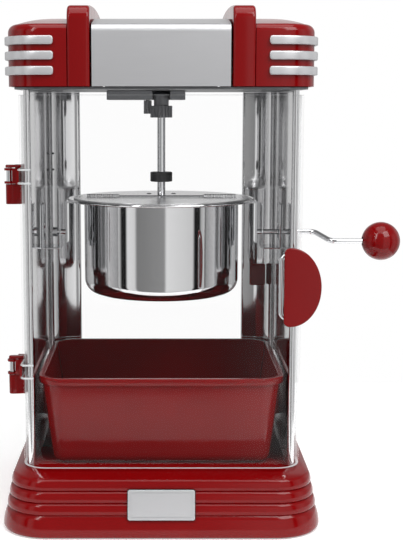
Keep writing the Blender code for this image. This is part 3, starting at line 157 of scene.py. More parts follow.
floor_half = 0.45
floor_mesh = bpy.data.meshes.new("floor")
floor_front = 0.30
corners = [(-floor_half, -floor_front, 0), (floor_half, -floor_front, 0), (floor_half, floor_half, 0),
           (-floor_half, floor_half, 0)]
floor_mesh.from_pydata(corners, [], [(0, 1, 2, 3)])
floor = bpy.data.objects.new("floor", floor_mesh)
scene.collection.objects.link(floor)
sweep = bpy.data.materials.new("matt_white_sweep")
sweep.use_nodes = True
paper = sweep.node_tree.nodes["Principled BSDF"]
paper.inputs["Base Color"].default_value = linear("#f6f6f6")
paper.inputs["Roughness"].default_value = 0.9
paper.inputs["Emission Color"].default_value = linear("#ffffff")
paper.inputs["Emission Strength"].default_value = 0.34
floor_mesh.materials.append(sweep)


# ---------------------------------------------------------------- feet
# Four turned rubber feet, pushed up through holes in the bottom cover and held by a flange inside.
def arc(centre, radius, start, end, steps):
    """Points on a circle from one angle to another, in degrees."""
    angles = [radians(start + (end - start) * i / steps) for i in range(steps + 1)]
    return [(centre[0] + radius * cos(a), centre[1] + radius * sin(a)) for a in angles]


def piece(name, rows, closed=False, smooth=35):
    """A skin through rows of points, as many in each. Its ends are filled, or meet when closed is set."""
    shape = bmesh.new()
    rows = [[shape.verts.new(point) for point in row] for row in rows]
    pairs = list(zip(rows, rows[1:]))
    if closed:
        pairs.append((rows[-1], rows[0]))
    else:
        shape.faces.new(rows[0])
        shape.faces.new(rows[-1])
    count = len(rows[0])
    for row, following in pairs:
        for i in range(count):
            j = (i + 1) % count
            shape.faces.new((row[i], row[j], following[j], following[i]))
    bmesh.ops.recalc_face_normals(shape, faces=shape.faces)
    mesh = bpy.data.meshes.new(name)
    shape.to_mesh(mesh)
    shape.free()
    mesh.shade_smooth()
    mesh.set_sharp_from_angle(angle=radians(smooth))
    made = bpy.data.objects.new(name, mesh)
    scene.collection.objects.link(made)
    return made


def turned(name, profile, centre, sides=64, axis="Z", closed=False, smooth=35):
    """A turned piece: its profile's (radius, height) points, spun about an axis through centre."""
    turns = {"Z": Matrix(), "X": Matrix.Rotation(pi / 2, 4, "Y"), "Y": Matrix.Rotation(-pi / 2, 4, "X")}
    place = Matrix.Translation(centre) @ turns[axis]
    ring = [(cos(2 * pi * i / sides), sin(2 * pi * i / sides)) for i in range(sides)]
    rows = [[place @ Vector((r * c, r * s, z)) for c, s in ring] for r, z in profile]
    return piece(name, rows, closed, smooth)


def fit(made, body, slot, *stood_for):
    """Fixes a piece to its body, in the place of the plain solids that it stands for."""
    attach(made, body)
    if stood_for:
        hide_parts(*stood_for)


def dress(made, *materials):
    """Gives a piece its materials, the first one all over."""
    while len(made.data.materials) < len(materials):
        made.data.materials.append(None)
    for holder in made.material_slots:
        holder.link = "OBJECT"
        holder.material = materials[0]
    for holder, material in zip(made.material_slots, materials):
        holder.material = material


def new_material(name):
    """A material with its shader and the piece's own coordinates, in metres."""
    material = bpy.data.materials.new(name)
    material.use_nodes = True
    tree = material.node_tree
    place = add_node(tree, "TexCoord").outputs["Object"]
    return material, tree, tree.nodes["Principled BSDF"], place


def moulded_rubber():
    """Black nitrile rubber, compression moulded: dull, with a fine grain that scatters the light."""
    grain_mm = 0.4
    material, tree, shader, place = new_material("moulded_rubber")
    grain = add_node(tree, "TexNoise", {"Vector": place, "Scale": 1000 / grain_mm, "Detail": 3.0})
    relief = add_node(tree, "Bump", {"Height": grain.outputs[0], "Distance": 0.00004, "Strength": 0.6})
    shader.inputs["Base Color"].default_value = linear("#1b1b1c")
    shader.inputs["Roughness"].default_value = 0.82
    tree.links.new(relief.outputs[0], shader.inputs["Normal"])
    return material


RUBBER = moulded_rubber()
foot_round = 0.0008
for node in [name for name in nodes if name.startswith("foot_")]:
    low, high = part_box(node)
    flange = (high.x - low.x) / 2
    seat = 0.0048
    radius = flange - 0.0025
    profile = [(radius * 0.6, 0.0006), (radius * 0.66, 0.0)] + arc((radius - foot_round, foot_round),
                                                                  foot_round, -90, 0, 5)
    profile += [(radius, seat), (flange, seat), (flange, high.z)]
    foot = turned("rubber_" + node, profile, ((low.x + high.x) / 2, (low.y + high.y) / 2, 0.0))
    fit(foot, "cabinet", "rubber", node)
    dress(foot, RUBBER)


# ---------------------------------------------------------------- bottom cover
# A flat black ABS plate that closes the base from below. It keeps the plain solid's shape, with its edges
# broken, and six steel screws hold it.
def black_abs():
    """Black ABS with a spark-eroded mould texture: satin, with pores too fine to see one by one."""
    grain_mm = 0.7
    material, tree, shader, place = new_material("textured_black_abs")
    grain = add_node(tree, "TexNoise", {"Vector": place, "Scale": 1000 / grain_mm, "Detail": 4.0})
    relief = add_node(tree, "Bump", {"Height": grain.outputs[0], "Distance": 0.00003, "Strength": 0.5})
    gloss = add_node(tree, "MapRange", {0: grain.outputs[0], 1: 0.3, 2: 0.7, 3: 0.42, 4: 0.56})
    shader.inputs["Base Color"].default_value = linear("#1d1d1f")
    shader.inputs["IOR"].default_value = 1.53
    tree.links.new(gloss.outputs[0], shader.inputs["Roughness"])
    tree.links.new(relief.outputs[0], shader.inputs["Normal"])
    return material


def break_edges(made, width, segments=3, angle=40):
    """Rounds a piece's sharp edges, and welds its facets first so that they bevel as one skin."""
    weld = made.modifiers.new("weld", "WELD")
    weld.merge_threshold = 0.00001
    edges = made.modifiers.new("edges", "BEVEL")
    edges.width = width
    edges.segments = segments
    edges.limit_method = "ANGLE"
    edges.angle_limit = radians(angle)
    edges.harden_normals = True
    if made.data.polygons and not any(face.use_smooth for face in made.data.polygons):
        made.data.shade_smooth()


def keep(node, material, width=0.0, segments=3):
    """Leaves a plain solid showing, with its finish and its edges broken."""
    solid = nodes[node]
    dress(solid, material)
    if width:
        break_edges(solid, width, segments)


BLACK_ABS = black_abs()
keep("bottom_cover", BLACK_ABS, 0.0003)


def zinc_screw_steel():
    """Zinc-plated screw steel: bright but a little blotchy, from the plating bath."""
    blotch_mm = 1.5
    material, tree, shader, place = new_material("zinc_screw_steel")
    blotch = add_node(tree, "TexNoise", {"Vector": place, "Scale": 1000 / blotch_mm, "Detail": 2.0})
    gloss = add_node(tree, "MapRange", {0: blotch.outputs[0], 1: 0.3, 2: 0.7, 3: 0.22, 4: 0.36})
    shader.inputs["Base Color"].default_value = linear("#b9bbbd")
    shader.inputs["Metallic"].default_value = 1.0
    tree.links.new(gloss.outputs[0], shader.inputs["Roughness"])
    return material


SCREW_STEEL = zinc_screw_steel()


def screw_mesh(radius):
    """A pan head with a cross recess, its seat at the origin and its crown along +Z."""
    crown = radius * 0.55
    profile = [(radius, 0.0)] + [(radius * cos(a), crown * sin(a)) for a in (radians(15 * i) for i in range(1, 6))]
    head = turned("screw_head", profile + [(radius * 0.02, crown)], (0, 0, 0), 32)
    for name, size in (("slot_a", (radius * 1.25, radius * 0.3)), ("slot_b", (radius * 0.3, radius * 1.25))):
        half_x, half_y = size[0] / 2, size[1] / 2
        corners = [(-half_x, -half_y), (half_x, -half_y), (half_x, half_y), (-half_x, half_y)]
        slot = piece(name, [[Vector((x, y, z)) for x, y in corners] for z in (crown * 0.45, crown * 1.5)])
        recess = head.modifiers.new(name, "BOOLEAN")
        recess.object = slot
        recess.solver = "EXACT"
    bpy.context.view_layer.update()
    finished = bpy.data.meshes.new_from_object(head.evaluated_get(bpy.context.evaluated_depsgraph_get()))
    for spare in [head] + [m.object for m in head.modifiers]:
        bpy.data.objects.remove(spare)
    finished.materials.clear()
    finished.materials.append(None)
    return finished


SCREW_HEAD = screw_mesh(0.0025)


def add_screw(name, place, out, body, slot="grey_metal", scale=1.0):
    """A screw head on a face, pointing out of it."""
    head = bpy.data.objects.new(name, SCREW_HEAD)
    head.matrix_world = Matrix.LocRotScale(place, Vector(out).to_track_quat("Z", "Y"), (scale,) * 3)
    scene.collection.objects.link(head)
    fit(head, body, slot)
    dress(head, SCREW_STEEL)


low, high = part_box("bottom_cover")
for number, (x, y) in enumerate([(sx, sy) for sx in (-1, 0, 1) for sy in (-1, 1)], 1):
    place = Vector((x * (high.x - 0.055), y * (high.y - 0.014), low.z))
    add_screw(f"cover_screw_{number}", place, (0, 0, -1), "cabinet")


# ---------------------------------------------------------------- base
# One red ABS moulding, open below: four rounded ribs run round a skirt that spreads towards the table, and
# a flat deck closes the top. It is ejected from a polished mould, so it is glossy.
def red_abs():
    """Deep red ABS from a polished mould: high gloss, with a slight waviness that bends its reflections."""
    ripple_mm = 9.0
    mottle_mm = 35.0
    material, tree, shader, place = new_material("glossy_red_abs")
    ripple = add_node(tree, "TexNoise", {"Vector": place, "Scale": 1000 / ripple_mm, "Detail": 1.0})
    relief = add_node(tree, "Bump", {"Height": ripple.outputs[0], "Distance": 0.00006, "Strength": 0.2})
    mottle = add_node(tree, "TexNoise", {"Vector": place, "Scale": 1000 / mottle_mm, "Detail": 2.0})
    tint = add_node(tree, "Mix", {0: mottle.outputs[0], 6: linear("#6f0305"), 7: linear("#780406")},
                    data_type="RGBA")
    gloss = add_node(tree, "MapRange", {0: mottle.outputs[0], 1: 0.3, 2: 0.7, 3: 0.10, 4: 0.15})
    shader.inputs["IOR"].default_value = 1.53
    shader.inputs["Specular IOR Level"].default_value = 0.25
    tree.links.new(tint.outputs[2], shader.inputs["Base Color"])
    tree.links.new(gloss.outputs[0], shader.inputs["Roughness"])
    tree.links.new(relief.outputs[0], shader.inputs["Normal"])
    return material


def rounded(half_x, half_y, radius, steps=16, centre=(0.0, 0.0)):
    """A rectangle with round corners, in plan."""
    points = []
    for start, sx, sy in ((0, 1, 1), (90, -1, 1), (180, -1, -1), (270, 1, -1)):
        corner = (centre[0] + sx * (half_x - radius), centre[1] + sy * (half_y - radius))
        points += arc(corner, radius, start, start + 90, steps)
    return points


def level(outline, z):
    return [Vector((x, y, z)) for x, y in outline]


RED_ABS = red_abs()
base_low, base_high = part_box("base_shell")
wall_low, wall_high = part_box("right_side_wall")
deck_half_x = wall_high.x + 0.0130
deck_half_y = base_high.y - (base_high.x - deck_half_x)
base_spread = 0.01029
deck_z = base_high.z
deck_corner = 0.0320
rib_pitch = 0.0103
rib_depth = 0.0022
skin = 0.0025
rib_steps = 10


def base_ring(spread, z):
    outline = rounded(deck_half_x + spread, deck_half_y + spread, deck_corner + spread, 14)
    return level(outline, z)


def crest(z):
    """How far a rib's crest stands out at a height."""
    return base_spread * (deck_z - z) / (deck_z - base_low.z)


edges = [base_low.z] + [deck_z - rib_pitch * n for n in (3, 2, 1, 0)]
inside = [base_ring(crest(z) - rib_depth - skin, z) for z in (deck_z - skin, base_low.z)]
outside = []
for bottom, top in zip(edges, edges[1:]):
    for i in range(rib_steps):
        z = bottom + (top - bottom) * i / rib_steps
        bulge = rib_depth * sin(pi * i / rib_steps) ** 0.4 if i else 0.0
        outside.append(base_ring(crest(z) - rib_depth + bulge, z))
outside.append(base_ring(-rib_depth, deck_z))
base = piece("red_base", inside + outside, smooth=50)
fit(base, "cabinet", "red_plastic", "base_shell")
dress(base, RED_ABS)


# ---------------------------------------------------------------- plate on the base
# A blank pressed plate, lacquered silver, with a fine raised frame. It lies against the ribs' crests, and
# two pins hold it from behind.
def silver_lacquer():
    """Silver lacquer over a pressed part: satin, with flakes of aluminium too small to tell apart."""
    flake_mm = 0.35
    material, tree, shader, place = new_material("silver_lacquer")
    flakes = add_node(tree, "TexVoronoi", {"Vector": place, "Scale": 1000 / flake_mm})
    spread = add_node(tree, "MapRange", {0: flakes.outputs["Distance"], 1: 0.0, 2: 1.0, 3: 0.30, 4: 0.42})
    relief = add_node(tree, "Bump", {"Height": flakes.outputs["Distance"], "Distance": 0.00001,
                                     "Strength": 0.5})
    shader.inputs["Base Color"].default_value = linear("#c9c9cb")
    shader.inputs["Metallic"].default_value = 0.65
    shader.inputs["Coat Weight"].default_value = 0.25
    shader.inputs["Coat Roughness"].default_value = 0.2
    tree.links.new(spread.outputs[0], shader.inputs["Roughness"])
    tree.links.new(relief.outputs[0], shader.inputs["Normal"])
    return material


SILVER_LACQUER = silver_lacquer()
low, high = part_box("name_plate")
# The plate is inset by the width of a black rim of painted shade round it.
shade_rim_edge = 0.0005
plate_width = high.x - low.x - 2 * shade_rim_edge
plate_height = 0.0270 - 2 * shade_rim_edge
plate_thickness = 0.0016
plate_corner = 0.0016
frame_inset = 0.0022
frame_width = 0.0006
frame_depth = 0.0005
lean = atan2(0.0105, deck_z - base_low.z)
plate_place = Matrix.Translation((low + high) / 2) @ Matrix.Rotation(-lean, 4, "X")
half_x, half_z, half_y = plate_width / 2, plate_height / 2, plate_thickness / 2
rows = []
for inset, y in ((0.0004, half_y), (0.0, half_y - 0.0003), (0.0, -half_y + 0.0004), (0.0004, -half_y),
                 (frame_inset, -half_y), (frame_inset, -half_y + frame_depth),
                 (frame_inset + frame_width, -half_y + frame_depth), (frame_inset + frame_width, -half_y)):
    outline = rounded(half_x - inset, half_z - inset, max(plate_corner - inset, 0.0006), 6)
    rows.append([plate_place @ Vector((x, y, z)) for x, z in outline])
plate = piece("blank_plate", rows)
# A black rim, a little larger than the plate all round, sits behind it as painted shade for the dark gap round its
# edge.
shade_rim_rows = []
for y in (half_y, -half_y + 0.0007):
    outline = rounded(half_x + shade_rim_edge, half_z + shade_rim_edge, plate_corner + shade_rim_edge, 6)
    shade_rim_rows.append([plate_place @ Vector((x, y, z)) for x, z in outline])
shade_rim = piece("plate_painted_shade_rim", shade_rim_rows)
fit(shade_rim, "cabinet", "rubber")
dress(shade_rim, RUBBER)
fit(plate, "cabinet", "silver_paint", "name_plate")
dress(plate, SILVER_LACQUER)


# ---------------------------------------------------------------- side walls
# Each wall is a polished steel skin folded round a cavity: straight along the side, turned through a large
# radius at the rear, and closed with a round hem at both ends. Tabs under the deck and the canopy hold it.
def polished_steel():
    """Polished stainless sheet: near-mirror, its reflections drawn out a little along the rolling direction."""
    streak_mm = 1.6
    cloud_mm = 60.0
    material, tree, shader, place = new_material("polished_stainless_sheet")
    stretched = add_node(tree, "Mapping", {"Vector": place, "Scale": (1.0, 1.0, 0.01)})
    streaks = add_node(tree, "TexNoise", {"Vector": stretched.outputs[0], "Scale": 1000 / streak_mm,
                                          "Detail": 2.0})
    clouds = add_node(tree, "TexNoise", {"Vector": place, "Scale": 1000 / cloud_mm, "Detail": 2.0})
    relief = add_node(tree, "Bump", {"Height": streaks.outputs[0], "Distance": 0.00001, "Strength": 0.25})
    gloss = add_node(tree, "MapRange", {0: clouds.outputs[0], 1: 0.3, 2: 0.7, 3: 0.07, 4: 0.12})
    shader.inputs["Base Color"].default_value = linear("#dcdcdd")
    shader.inputs["Metallic"].default_value = 1.0
    tree.links.new(gloss.outputs[0], shader.inputs["Roughness"])
    tree.links.new(relief.outputs[0], shader.inputs["Normal"])
    return material


POLISHED_STEEL = polished_steel()
wall_thickness = 0.0060
wall_skin = 0.0010
wall_corner = 0.0300
wall_mid_x = wall_high.x - wall_thickness / 2
wall_rear = wall_high.y - wall_thickness / 2
wall_front = wall_low.y + wall_thickness / 2
wall_end = wall_low.x + wall_thickness / 2


def wall_plan(half):
    """Plan of the right wall's skin, at a distance from its middle line."""
    corner = (wall_mid_x - wall_corner, wall_rear - wall_corner)
    points = arc((wall_mid_x, wall_front), half, 180, 360, 16)
    points += arc(corner, wall_corner + half, 0, 88, 24)
    points += arc((wall_end, wall_rear), half, 90, 270, 16)
    return points + arc(corner, wall_corner - half, 88, 0, 24)


outer, inner = wall_plan(wall_thickness / 2), wall_plan(wall_thickness / 2 - wall_skin)
rings = [(outer, wall_low.z), (outer, wall_high.z), (inner, wall_high.z), (inner, wall_low.z)]
for side, sign in (("left", -1), ("right", 1)):
    rows = [[Vector((sign * x, y, z)) for x, y in outline] for outline, z in rings]
    wall = piece(f"steel_wall_{side}", rows, closed=True)
    fit(wall, "cabinet", "chrome_steel", f"{side}_side_wall")
    dress(wall, POLISHED_STEEL)

keep("crank_bush", POLISHED_STEEL, 0.0004)

# Two black discs on the left rear corner are painted shade: they stand for the dark insides of two screw holes there.
hole_shade_radius = 0.0011
hole_turn = radians(29.5)
corner_x, corner_y = wall_mid_x - wall_corner, wall_rear - wall_corner
for number, z in enumerate((0.3083, 0.3246), 1):
    inward = Vector((cos(hole_turn), -sin(hole_turn), 0.0))
    reach = wall_corner - wall_thickness / 2
    place = Vector((-corner_x - cos(hole_turn) * reach, corner_y + sin(hole_turn) * reach, z))
    hole_shade = turned(f"wall_hole_shade_{number}", [(hole_shade_radius, 0.0), (hole_shade_radius * 0.8, 0.0006)], (0, 0, 0), 20)
    hole_shade.matrix_world = Matrix.LocRotScale(place, inward.to_track_quat("Z", "Y"), (1, 1, 1))
    fit(hole_shade, "cabinet", "rubber")
    dress(hole_shade, RUBBER)


# ---------------------------------------------------------------- rear window and a red piece in its corner
# A flat pane of clear acrylic behind the opening between the walls, and a small red piece in the right rear
# corner. Its red is painted reflection, for the red parts that show mirrored there.
def clear_acrylic():
    """Cast acrylic sheet: clear, with a sharp reflection that grows towards the edges of what it shows."""
    material, tree, shader, place = new_material("clear_acrylic")
    tree.nodes.remove(shader)
    facing = add_node(tree, "Fresnel", {"IOR": 1.49})
    outward = add_node(tree, "NewGeometry")
    front = add_node(tree, "Math", {0: 1.0, 1: outward.outputs["Backfacing"]}, operation="SUBTRACT")
    both_faces = 0.5
    front = add_node(tree, "Math", {0: front.outputs[0], 1: both_faces}, operation="MULTIPLY")
    facing = add_node(tree, "Math", {0: facing.outputs[0], 1: front.outputs[0]}, operation="MULTIPLY")
    through = add_node(tree, "BsdfTransparent", {"Color": linear("#ffffff")})
    gloss = add_node(tree, "BsdfGlossy", {"Color": linear("#ffffff"), "Roughness": 0.02})
    both = add_node(tree, "MixShader", {0: facing.outputs[0], 1: through.outputs[0], 2: gloss.outputs[0]})
    tree.links.new(both.outputs[0], tree.nodes["Material Output"].inputs["Surface"])
    return material


CLEAR_ACRYLIC = clear_acrylic()
keep("rear_window", CLEAR_ACRYLIC)
# This small red piece is painted reflection: it puts red where the red parts show mirrored.
keep("window_clip", RED_ABS, 0.0016, 4)


# ---------------------------------------------------------------- hangers
# Two pressed steel channels, welded inside the walls, each with a keyhole slot that the kettle's pivot
# drops into.
def chrome_plate():
    """Decorative chrome plate on steel: the brightest metal here, with faint wipe marks."""
    wipe_mm = 14.0
    material, tree, shader, place = new_material("chrome_plate")
    wipes = add_node(tree, "TexNoise", {"Vector": place, "Scale": 1000 / wipe_mm, "Detail": 3.0})
    gloss = add_node(tree, "MapRange", {0: wipes.outputs[0], 1: 0.35, 2: 0.7, 3: 0.04, 4: 0.09})
    shader.inputs["Base Color"].default_value = linear("#dcdddf")
    shader.inputs["Metallic"].default_value = 1.0
    tree.links.new(gloss.outputs[0], shader.inputs["Roughness"])
    return material


CHROME_PLATE = chrome_plate()
for side in ("left", "right"):
    keep(f"hanger_{side}", CHROME_PLATE, 0.0004)


# ---------------------------------------------------------------- kettle
# A deep-drawn stainless shell round a drawn cooking bowl, whose flange is rolled over the shell's rim. A
# heating ring and a thermostat sit between the two. The shell is buffed to a mirror.
def mirror_steel():
    """Stainless steel buffed to a mirror: sharp dark reflections, and a trace of the buffing round the axis."""
    buff_mm = 1.2
    material, tree, shader, place = new_material("mirror_buffed_stainless")
    stretched = add_node(tree, "Mapping", {"Vector": place, "Scale": (0.02, 0.02, 1.0)})
    lines = add_node(tree, "TexNoise", {"Vector": stretched.outputs[0], "Scale": 1000 / buff_mm, "Detail": 2.0})
    relief = add_node(tree, "Bump", {"Height": lines.outputs[0], "Distance": 0.000004, "Strength": 0.2})
    shader.inputs["Base Color"].default_value = linear("#d6d6d7")
    shader.inputs["Metallic"].default_value = 1.0
    shader.inputs["Roughness"].default_value = 0.025
    tree.links.new(relief.outputs[0], shader.inputs["Normal"])
    return material


MIRROR_STEEL = mirror_steel()
shell_low, shell_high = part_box("kettle_shell")
bowl_low, bowl_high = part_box("kettle_bowl")
kettle_y = (bowl_low.y + bowl_high.y) / 2
kettle_centre = (0.0, kettle_y, 0.0)
kettle_radius = (shell_high.y - shell_low.y) / 2
kettle_edge = 0.0140
sheet = 0.0010
drawn = (kettle_radius - kettle_edge, shell_low.z + kettle_edge)
profile = [(0.0005, shell_low.z)] + arc(drawn, kettle_edge, -90, 0, 18) + [(kettle_radius, shell_high.z)]
profile += [(kettle_radius - sheet, shell_high.z)] + arc(drawn, kettle_edge - sheet, 0, -90, 18)
profile += [(0.0005, shell_low.z + sheet)]
shell = turned("drawn_kettle_shell", profile, kettle_centre, 192)
fit(shell, "kettle", "mirror_steel", "kettle_shell")
dress(shell, MIRROR_STEEL)

bead = 0.0013
flange_radius = (bowl_high.y - bowl_low.y) / 2 - bead
flange_z = bowl_high.z - bead - sheet / 2
bowl_radius = kettle_radius - 0.0070
bowl_edge = 0.0080
bowl_corner = (bowl_radius - bowl_edge, bowl_low.z + bowl_edge)
profile = [(0.0005, bowl_low.z)] + arc(bowl_corner, bowl_edge, -90, 0, 12)
profile += [(bowl_radius, flange_z - 0.0015)] + arc((bowl_radius + 0.0015, flange_z - 0.0015), 0.0015, 180, 90, 5)
profile += arc((flange_radius, flange_z + sheet / 2), bead, -150, 150, 16)
profile += [(bowl_radius + 0.0006, flange_z + sheet), (bowl_radius - sheet, flange_z - 0.0006)]
profile += arc(bowl_corner, bowl_edge - sheet, 0, -90, 12) + [(0.0005, bowl_low.z + sheet)]
bowl = turned("drawn_bowl", profile, kettle_centre, 160)
fit(bowl, "kettle", "mirror_steel", "kettle_bowl")
dress(bowl, MIRROR_STEEL)

low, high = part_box("heating_ring")
rod = (high.z - low.z) / 2
ring_radius = (high.x - low.x) / 2 - rod
ring = turned("sheathed_heater", arc((ring_radius, (low.z + high.z) / 2), rod, 0, 360, 16)[:-1], kettle_centre,
              96, closed=True)
fit(ring, "kettle", "grey_metal", "heating_ring")
dress(ring, SCREW_STEEL)
keep("thermostat", BLACK_ABS, 0.0006)


# ---------------------------------------------------------------- pivots and crank
# Angles spot-welded under the flange carry a pin on the left and the crank on the right. The crank is a
# bent steel rod, chrome plated, that runs through the hanger and the wall to a red ball.
for side in ("left", "right"):
    keep(f"kettle_lug_{side}", CHROME_PLATE, 0.0005)
keep("trunnion_pin", CHROME_PLATE, 0.0006)

crank_low, crank_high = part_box("crank_rod")
knob_low, knob_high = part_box("crank_knob")
knob_centre = (knob_low + knob_high) / 2
knob_radius = (knob_high.z - knob_low.z) / 2
knob_centre.x = knob_high.x - knob_radius
bush_low, bush_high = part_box("crank_bush")
pivot_z = (bush_low.z + bush_high.z) / 2
crank_radius = crank_high.z - pivot_z
crank_start = Vector((crank_low.x, kettle_y, pivot_z))
bend_x = wall_high.x + 0.0270
bend_setback = 0.0055
corners = [crank_start, Vector((bend_x, kettle_y, pivot_z)),
           Vector((bend_x + 0.0120, knob_centre.y, knob_centre.z)),
           Vector((knob_centre.x - knob_radius * 0.6, knob_centre.y, knob_centre.z))]
path = [corners[0]]
for before, corner, after in zip(corners, corners[1:], corners[2:]):
    start = corner + (before - corner).normalized() * bend_setback
    end = corner + (after - corner).normalized() * bend_setback
    for i in range(13):
        t = i / 12
        path.append(start * (1 - t) ** 2 + corner * 2 * t * (1 - t) + end * t**2)
path.append(corners[-1])


def tube(name, path, radius, sides=24):
    """A round bar along a path, made as a mesh."""
    rows = []
    across = Vector((0.0, 0.0, 1.0))
    for i, point in enumerate(path):
        along = (path[min(i + 1, len(path) - 1)] - path[max(i - 1, 0)]).normalized()
        across = (across - along * across.dot(along)).normalized()
        beside = along.cross(across)
        rows.append([point + (across * cos(a) + beside * sin(a)) * radius
                     for a in (2 * pi * k / sides for k in range(sides))])
    return piece(name, rows)


crank = tube("chromed_crank", path, crank_radius)
fit(crank, "kettle", "chrome_steel", "crank_rod")
dress(crank, CHROME_PLATE)

ball_turn = [radians(-90 + 180 * i / 48) for i in range(49)]
socket = crank_radius + 0.0004
profile = [(max(knob_radius * cos(a), 0.0001), knob_radius * sin(a)) for a in ball_turn]
profile = [(socket, -knob_radius * 0.6)] + [(r, z) for r, z in profile if z > 0 or r > socket + 0.0006]
ball = turned("crank_ball", profile, knob_centre, 96, "X")
fit(ball, "kettle", "red_plastic", "crank_knob")
dress(ball, RED_ABS)


# ---------------------------------------------------------------- lid
# Two half discs of spun steel on one hinge pin. The rear half stays on the flange, with two rivets to the
# bowl, and the front half folds up to fill the kettle.
def spun_lid_steel():
    """Spun steel, brushed in circles round the stirrer's shaft: grey and softly streaked."""
    ring_mm = 1.4
    material, tree, shader, place = new_material("spun_lid_steel")
    centred = add_node(tree, "Mapping", {"Vector": place, "Location": (0.0, -kettle_y, 0.0)})
    flat = add_node(tree, "VectorMath", {0: centred.outputs[0], 1: (1.0, 1.0, 0.0)}, operation="MULTIPLY")
    radius = add_node(tree, "VectorMath", {0: flat.outputs[0]}, operation="LENGTH")
    rings = add_node(tree, "TexNoise", {"W": radius.outputs["Value"], "Scale": 1000 / ring_mm, "Detail": 3.0},
                     noise_dimensions="1D")
    relief = add_node(tree, "Bump", {"Height": rings.outputs[0], "Distance": 0.00002, "Strength": 0.5})
    gloss = add_node(tree, "MapRange", {0: rings.outputs[0], 1: 0.3, 2: 0.7, 3: 0.24, 4: 0.36})
    shader.inputs["Base Color"].default_value = linear("#ececed")
    shader.inputs["Metallic"].default_value = 1.0
    tree.links.new(gloss.outputs[0], shader.inputs["Roughness"])
    tree.links.new(relief.outputs[0], shader.inputs["Normal"])
    return material


LID_STEEL = spun_lid_steel()
keep("lid_rear", LID_STEEL, 0.0003)
keep("lid_flap", LID_STEEL, 0.0003)
keep("lid_hinge_pin", CHROME_PLATE)
low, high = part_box("lid_rear")
lid_top = low.z + 0.0012
for side, sign in (("left", -1), ("right", 1)):
    head = [(0.0026, 0.0)] + [(0.0026 * cos(a), 0.0010 * sin(a)) for a in (radians(18 * i) for i in range(1, 5))]
    rivet = turned(f"lid_rivet_{side}", head + [(0.0001, 0.0010)], (sign * 0.012, kettle_y + 0.040, lid_top), 24)
    fit(rivet, "kettle", "mirror_steel")
    dress(rivet, CHROME_PLATE)


# ---------------------------------------------------------------- stirrer
# A ground steel shaft with a swept wire blade on the bowl's floor, a black nylon collar that stops corn
# climbing, and a grey acetal gear at the top that lifts out of the pinion as the kettle tips.
def grey_acetal():
    """Glass-filled grey acetal, injection moulded: satin, faintly speckled, with rounded tooth edges."""
    speck_mm = 0.8
    material, tree, shader, place = new_material("grey_acetal")
    specks = add_node(tree, "TexNoise", {"Vector": place, "Scale": 1000 / speck_mm, "Detail": 2.0})
    tint = add_node(tree, "Mix", {0: specks.outputs[0], 6: linear("#808184"), 7: linear("#949598")},
                    data_type="RGBA")
    shader.inputs["Roughness"].default_value = 0.42
    tree.links.new(tint.outputs[2], shader.inputs["Base Color"])
    return material


GREY_ACETAL = grey_acetal()
keep("stir_gear", GREY_ACETAL, 0.0002, 2)
keep("shaft_collar", BLACK_ABS, 0.0008)
keep("stir_blade", CHROME_PLATE, 0.0006)
low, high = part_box("stir_shaft")
radius = (high.x - low.x) / 2
chamfer = 0.0006
profile = [(radius - chamfer, low.z), (radius, low.z + chamfer), (radius, high.z - chamfer),
           (radius - chamfer, high.z)]
shaft = turned("ground_shaft", profile, kettle_centre, 48)
fit(shaft, "stirrer", "chrome_steel", "stir_shaft")
dress(shaft, CHROME_PLATE)


# ---------------------------------------------------------------- drive
# A die-cast box hangs under the canopy's pan with a notch for the gear's hub. The pinion's spindle comes
# down through it from a gearbox and a small motor that stand on the pan, under the housing.
def galvanised_sheet():
    """Galvanised steel sheet: dull grey, with soft spangle patches where the zinc froze."""
    spangle_mm = 9.0
    material, tree, shader, place = new_material("galvanised_sheet")
    spangle = add_node(tree, "TexVoronoi", {"Vector": place, "Scale": 1000 / spangle_mm})
    tint = add_node(tree, "Mix", {0: spangle.outputs["Distance"], 6: linear("#6c6d6f"), 7: linear("#7b7c7e")},
                    data_type="RGBA")
    gloss = add_node(tree, "MapRange", {0: spangle.outputs["Distance"], 1: 0.0, 2: 1.0, 3: 0.34, 4: 0.48})
    shader.inputs["Metallic"].default_value = 1.0
    tree.links.new(tint.outputs[2], shader.inputs["Base Color"])
    tree.links.new(gloss.outputs[0], shader.inputs["Roughness"])
    return material


GALVANISED = galvanised_sheet()
keep("drive_box", GREY_ACETAL, 0.0006)
keep("drive_pinion", GREY_ACETAL, 0.0002, 2)
keep("canopy_pan", GALVANISED, 0.0004)
keep("gearbox", GALVANISED, 0.0004)
keep("stir_motor", GALVANISED, 0.0010)


# ---------------------------------------------------------------- canopy housing
# One aluminium sheet bent up the front, over the top and down the back, brushed lengthways and lacquered.
def brushed_aluminium():
    """Brushed aluminium under clear lacquer: satin grey, its highlights spread across the brush lines."""
    line_mm = 0.45
    material, tree, shader, place = new_material("brushed_aluminium")
    stretched = add_node(tree, "Mapping", {"Vector": place, "Scale": (0.012, 1.0, 1.0)})
    lines = add_node(tree, "TexNoise", {"Vector": stretched.outputs[0], "Scale": 1000 / line_mm, "Detail": 3.0})
    relief = add_node(tree, "Bump", {"Height": lines.outputs[0], "Distance": 0.000004, "Strength": 0.25})
    tint = add_node(tree, "Mix", {0: lines.outputs[0], 6: linear("#bdbdbf"), 7: linear("#c3c3c5")},
                    data_type="RGBA")
    gloss = add_node(tree, "MapRange", {0: lines.outputs[0], 1: 0.3, 2: 0.7, 3: 0.38, 4: 0.44})
    shader.inputs["Metallic"].default_value = 0.85
    shader.inputs["Coat Weight"].default_value = 0.15
    shader.inputs["Coat Roughness"].default_value = 0.25
    tree.links.new(tint.outputs[2], shader.inputs["Base Color"])
    tree.links.new(gloss.outputs[0], shader.inputs["Roughness"])
    tree.links.new(relief.outputs[0], shader.inputs["Normal"])
    return material


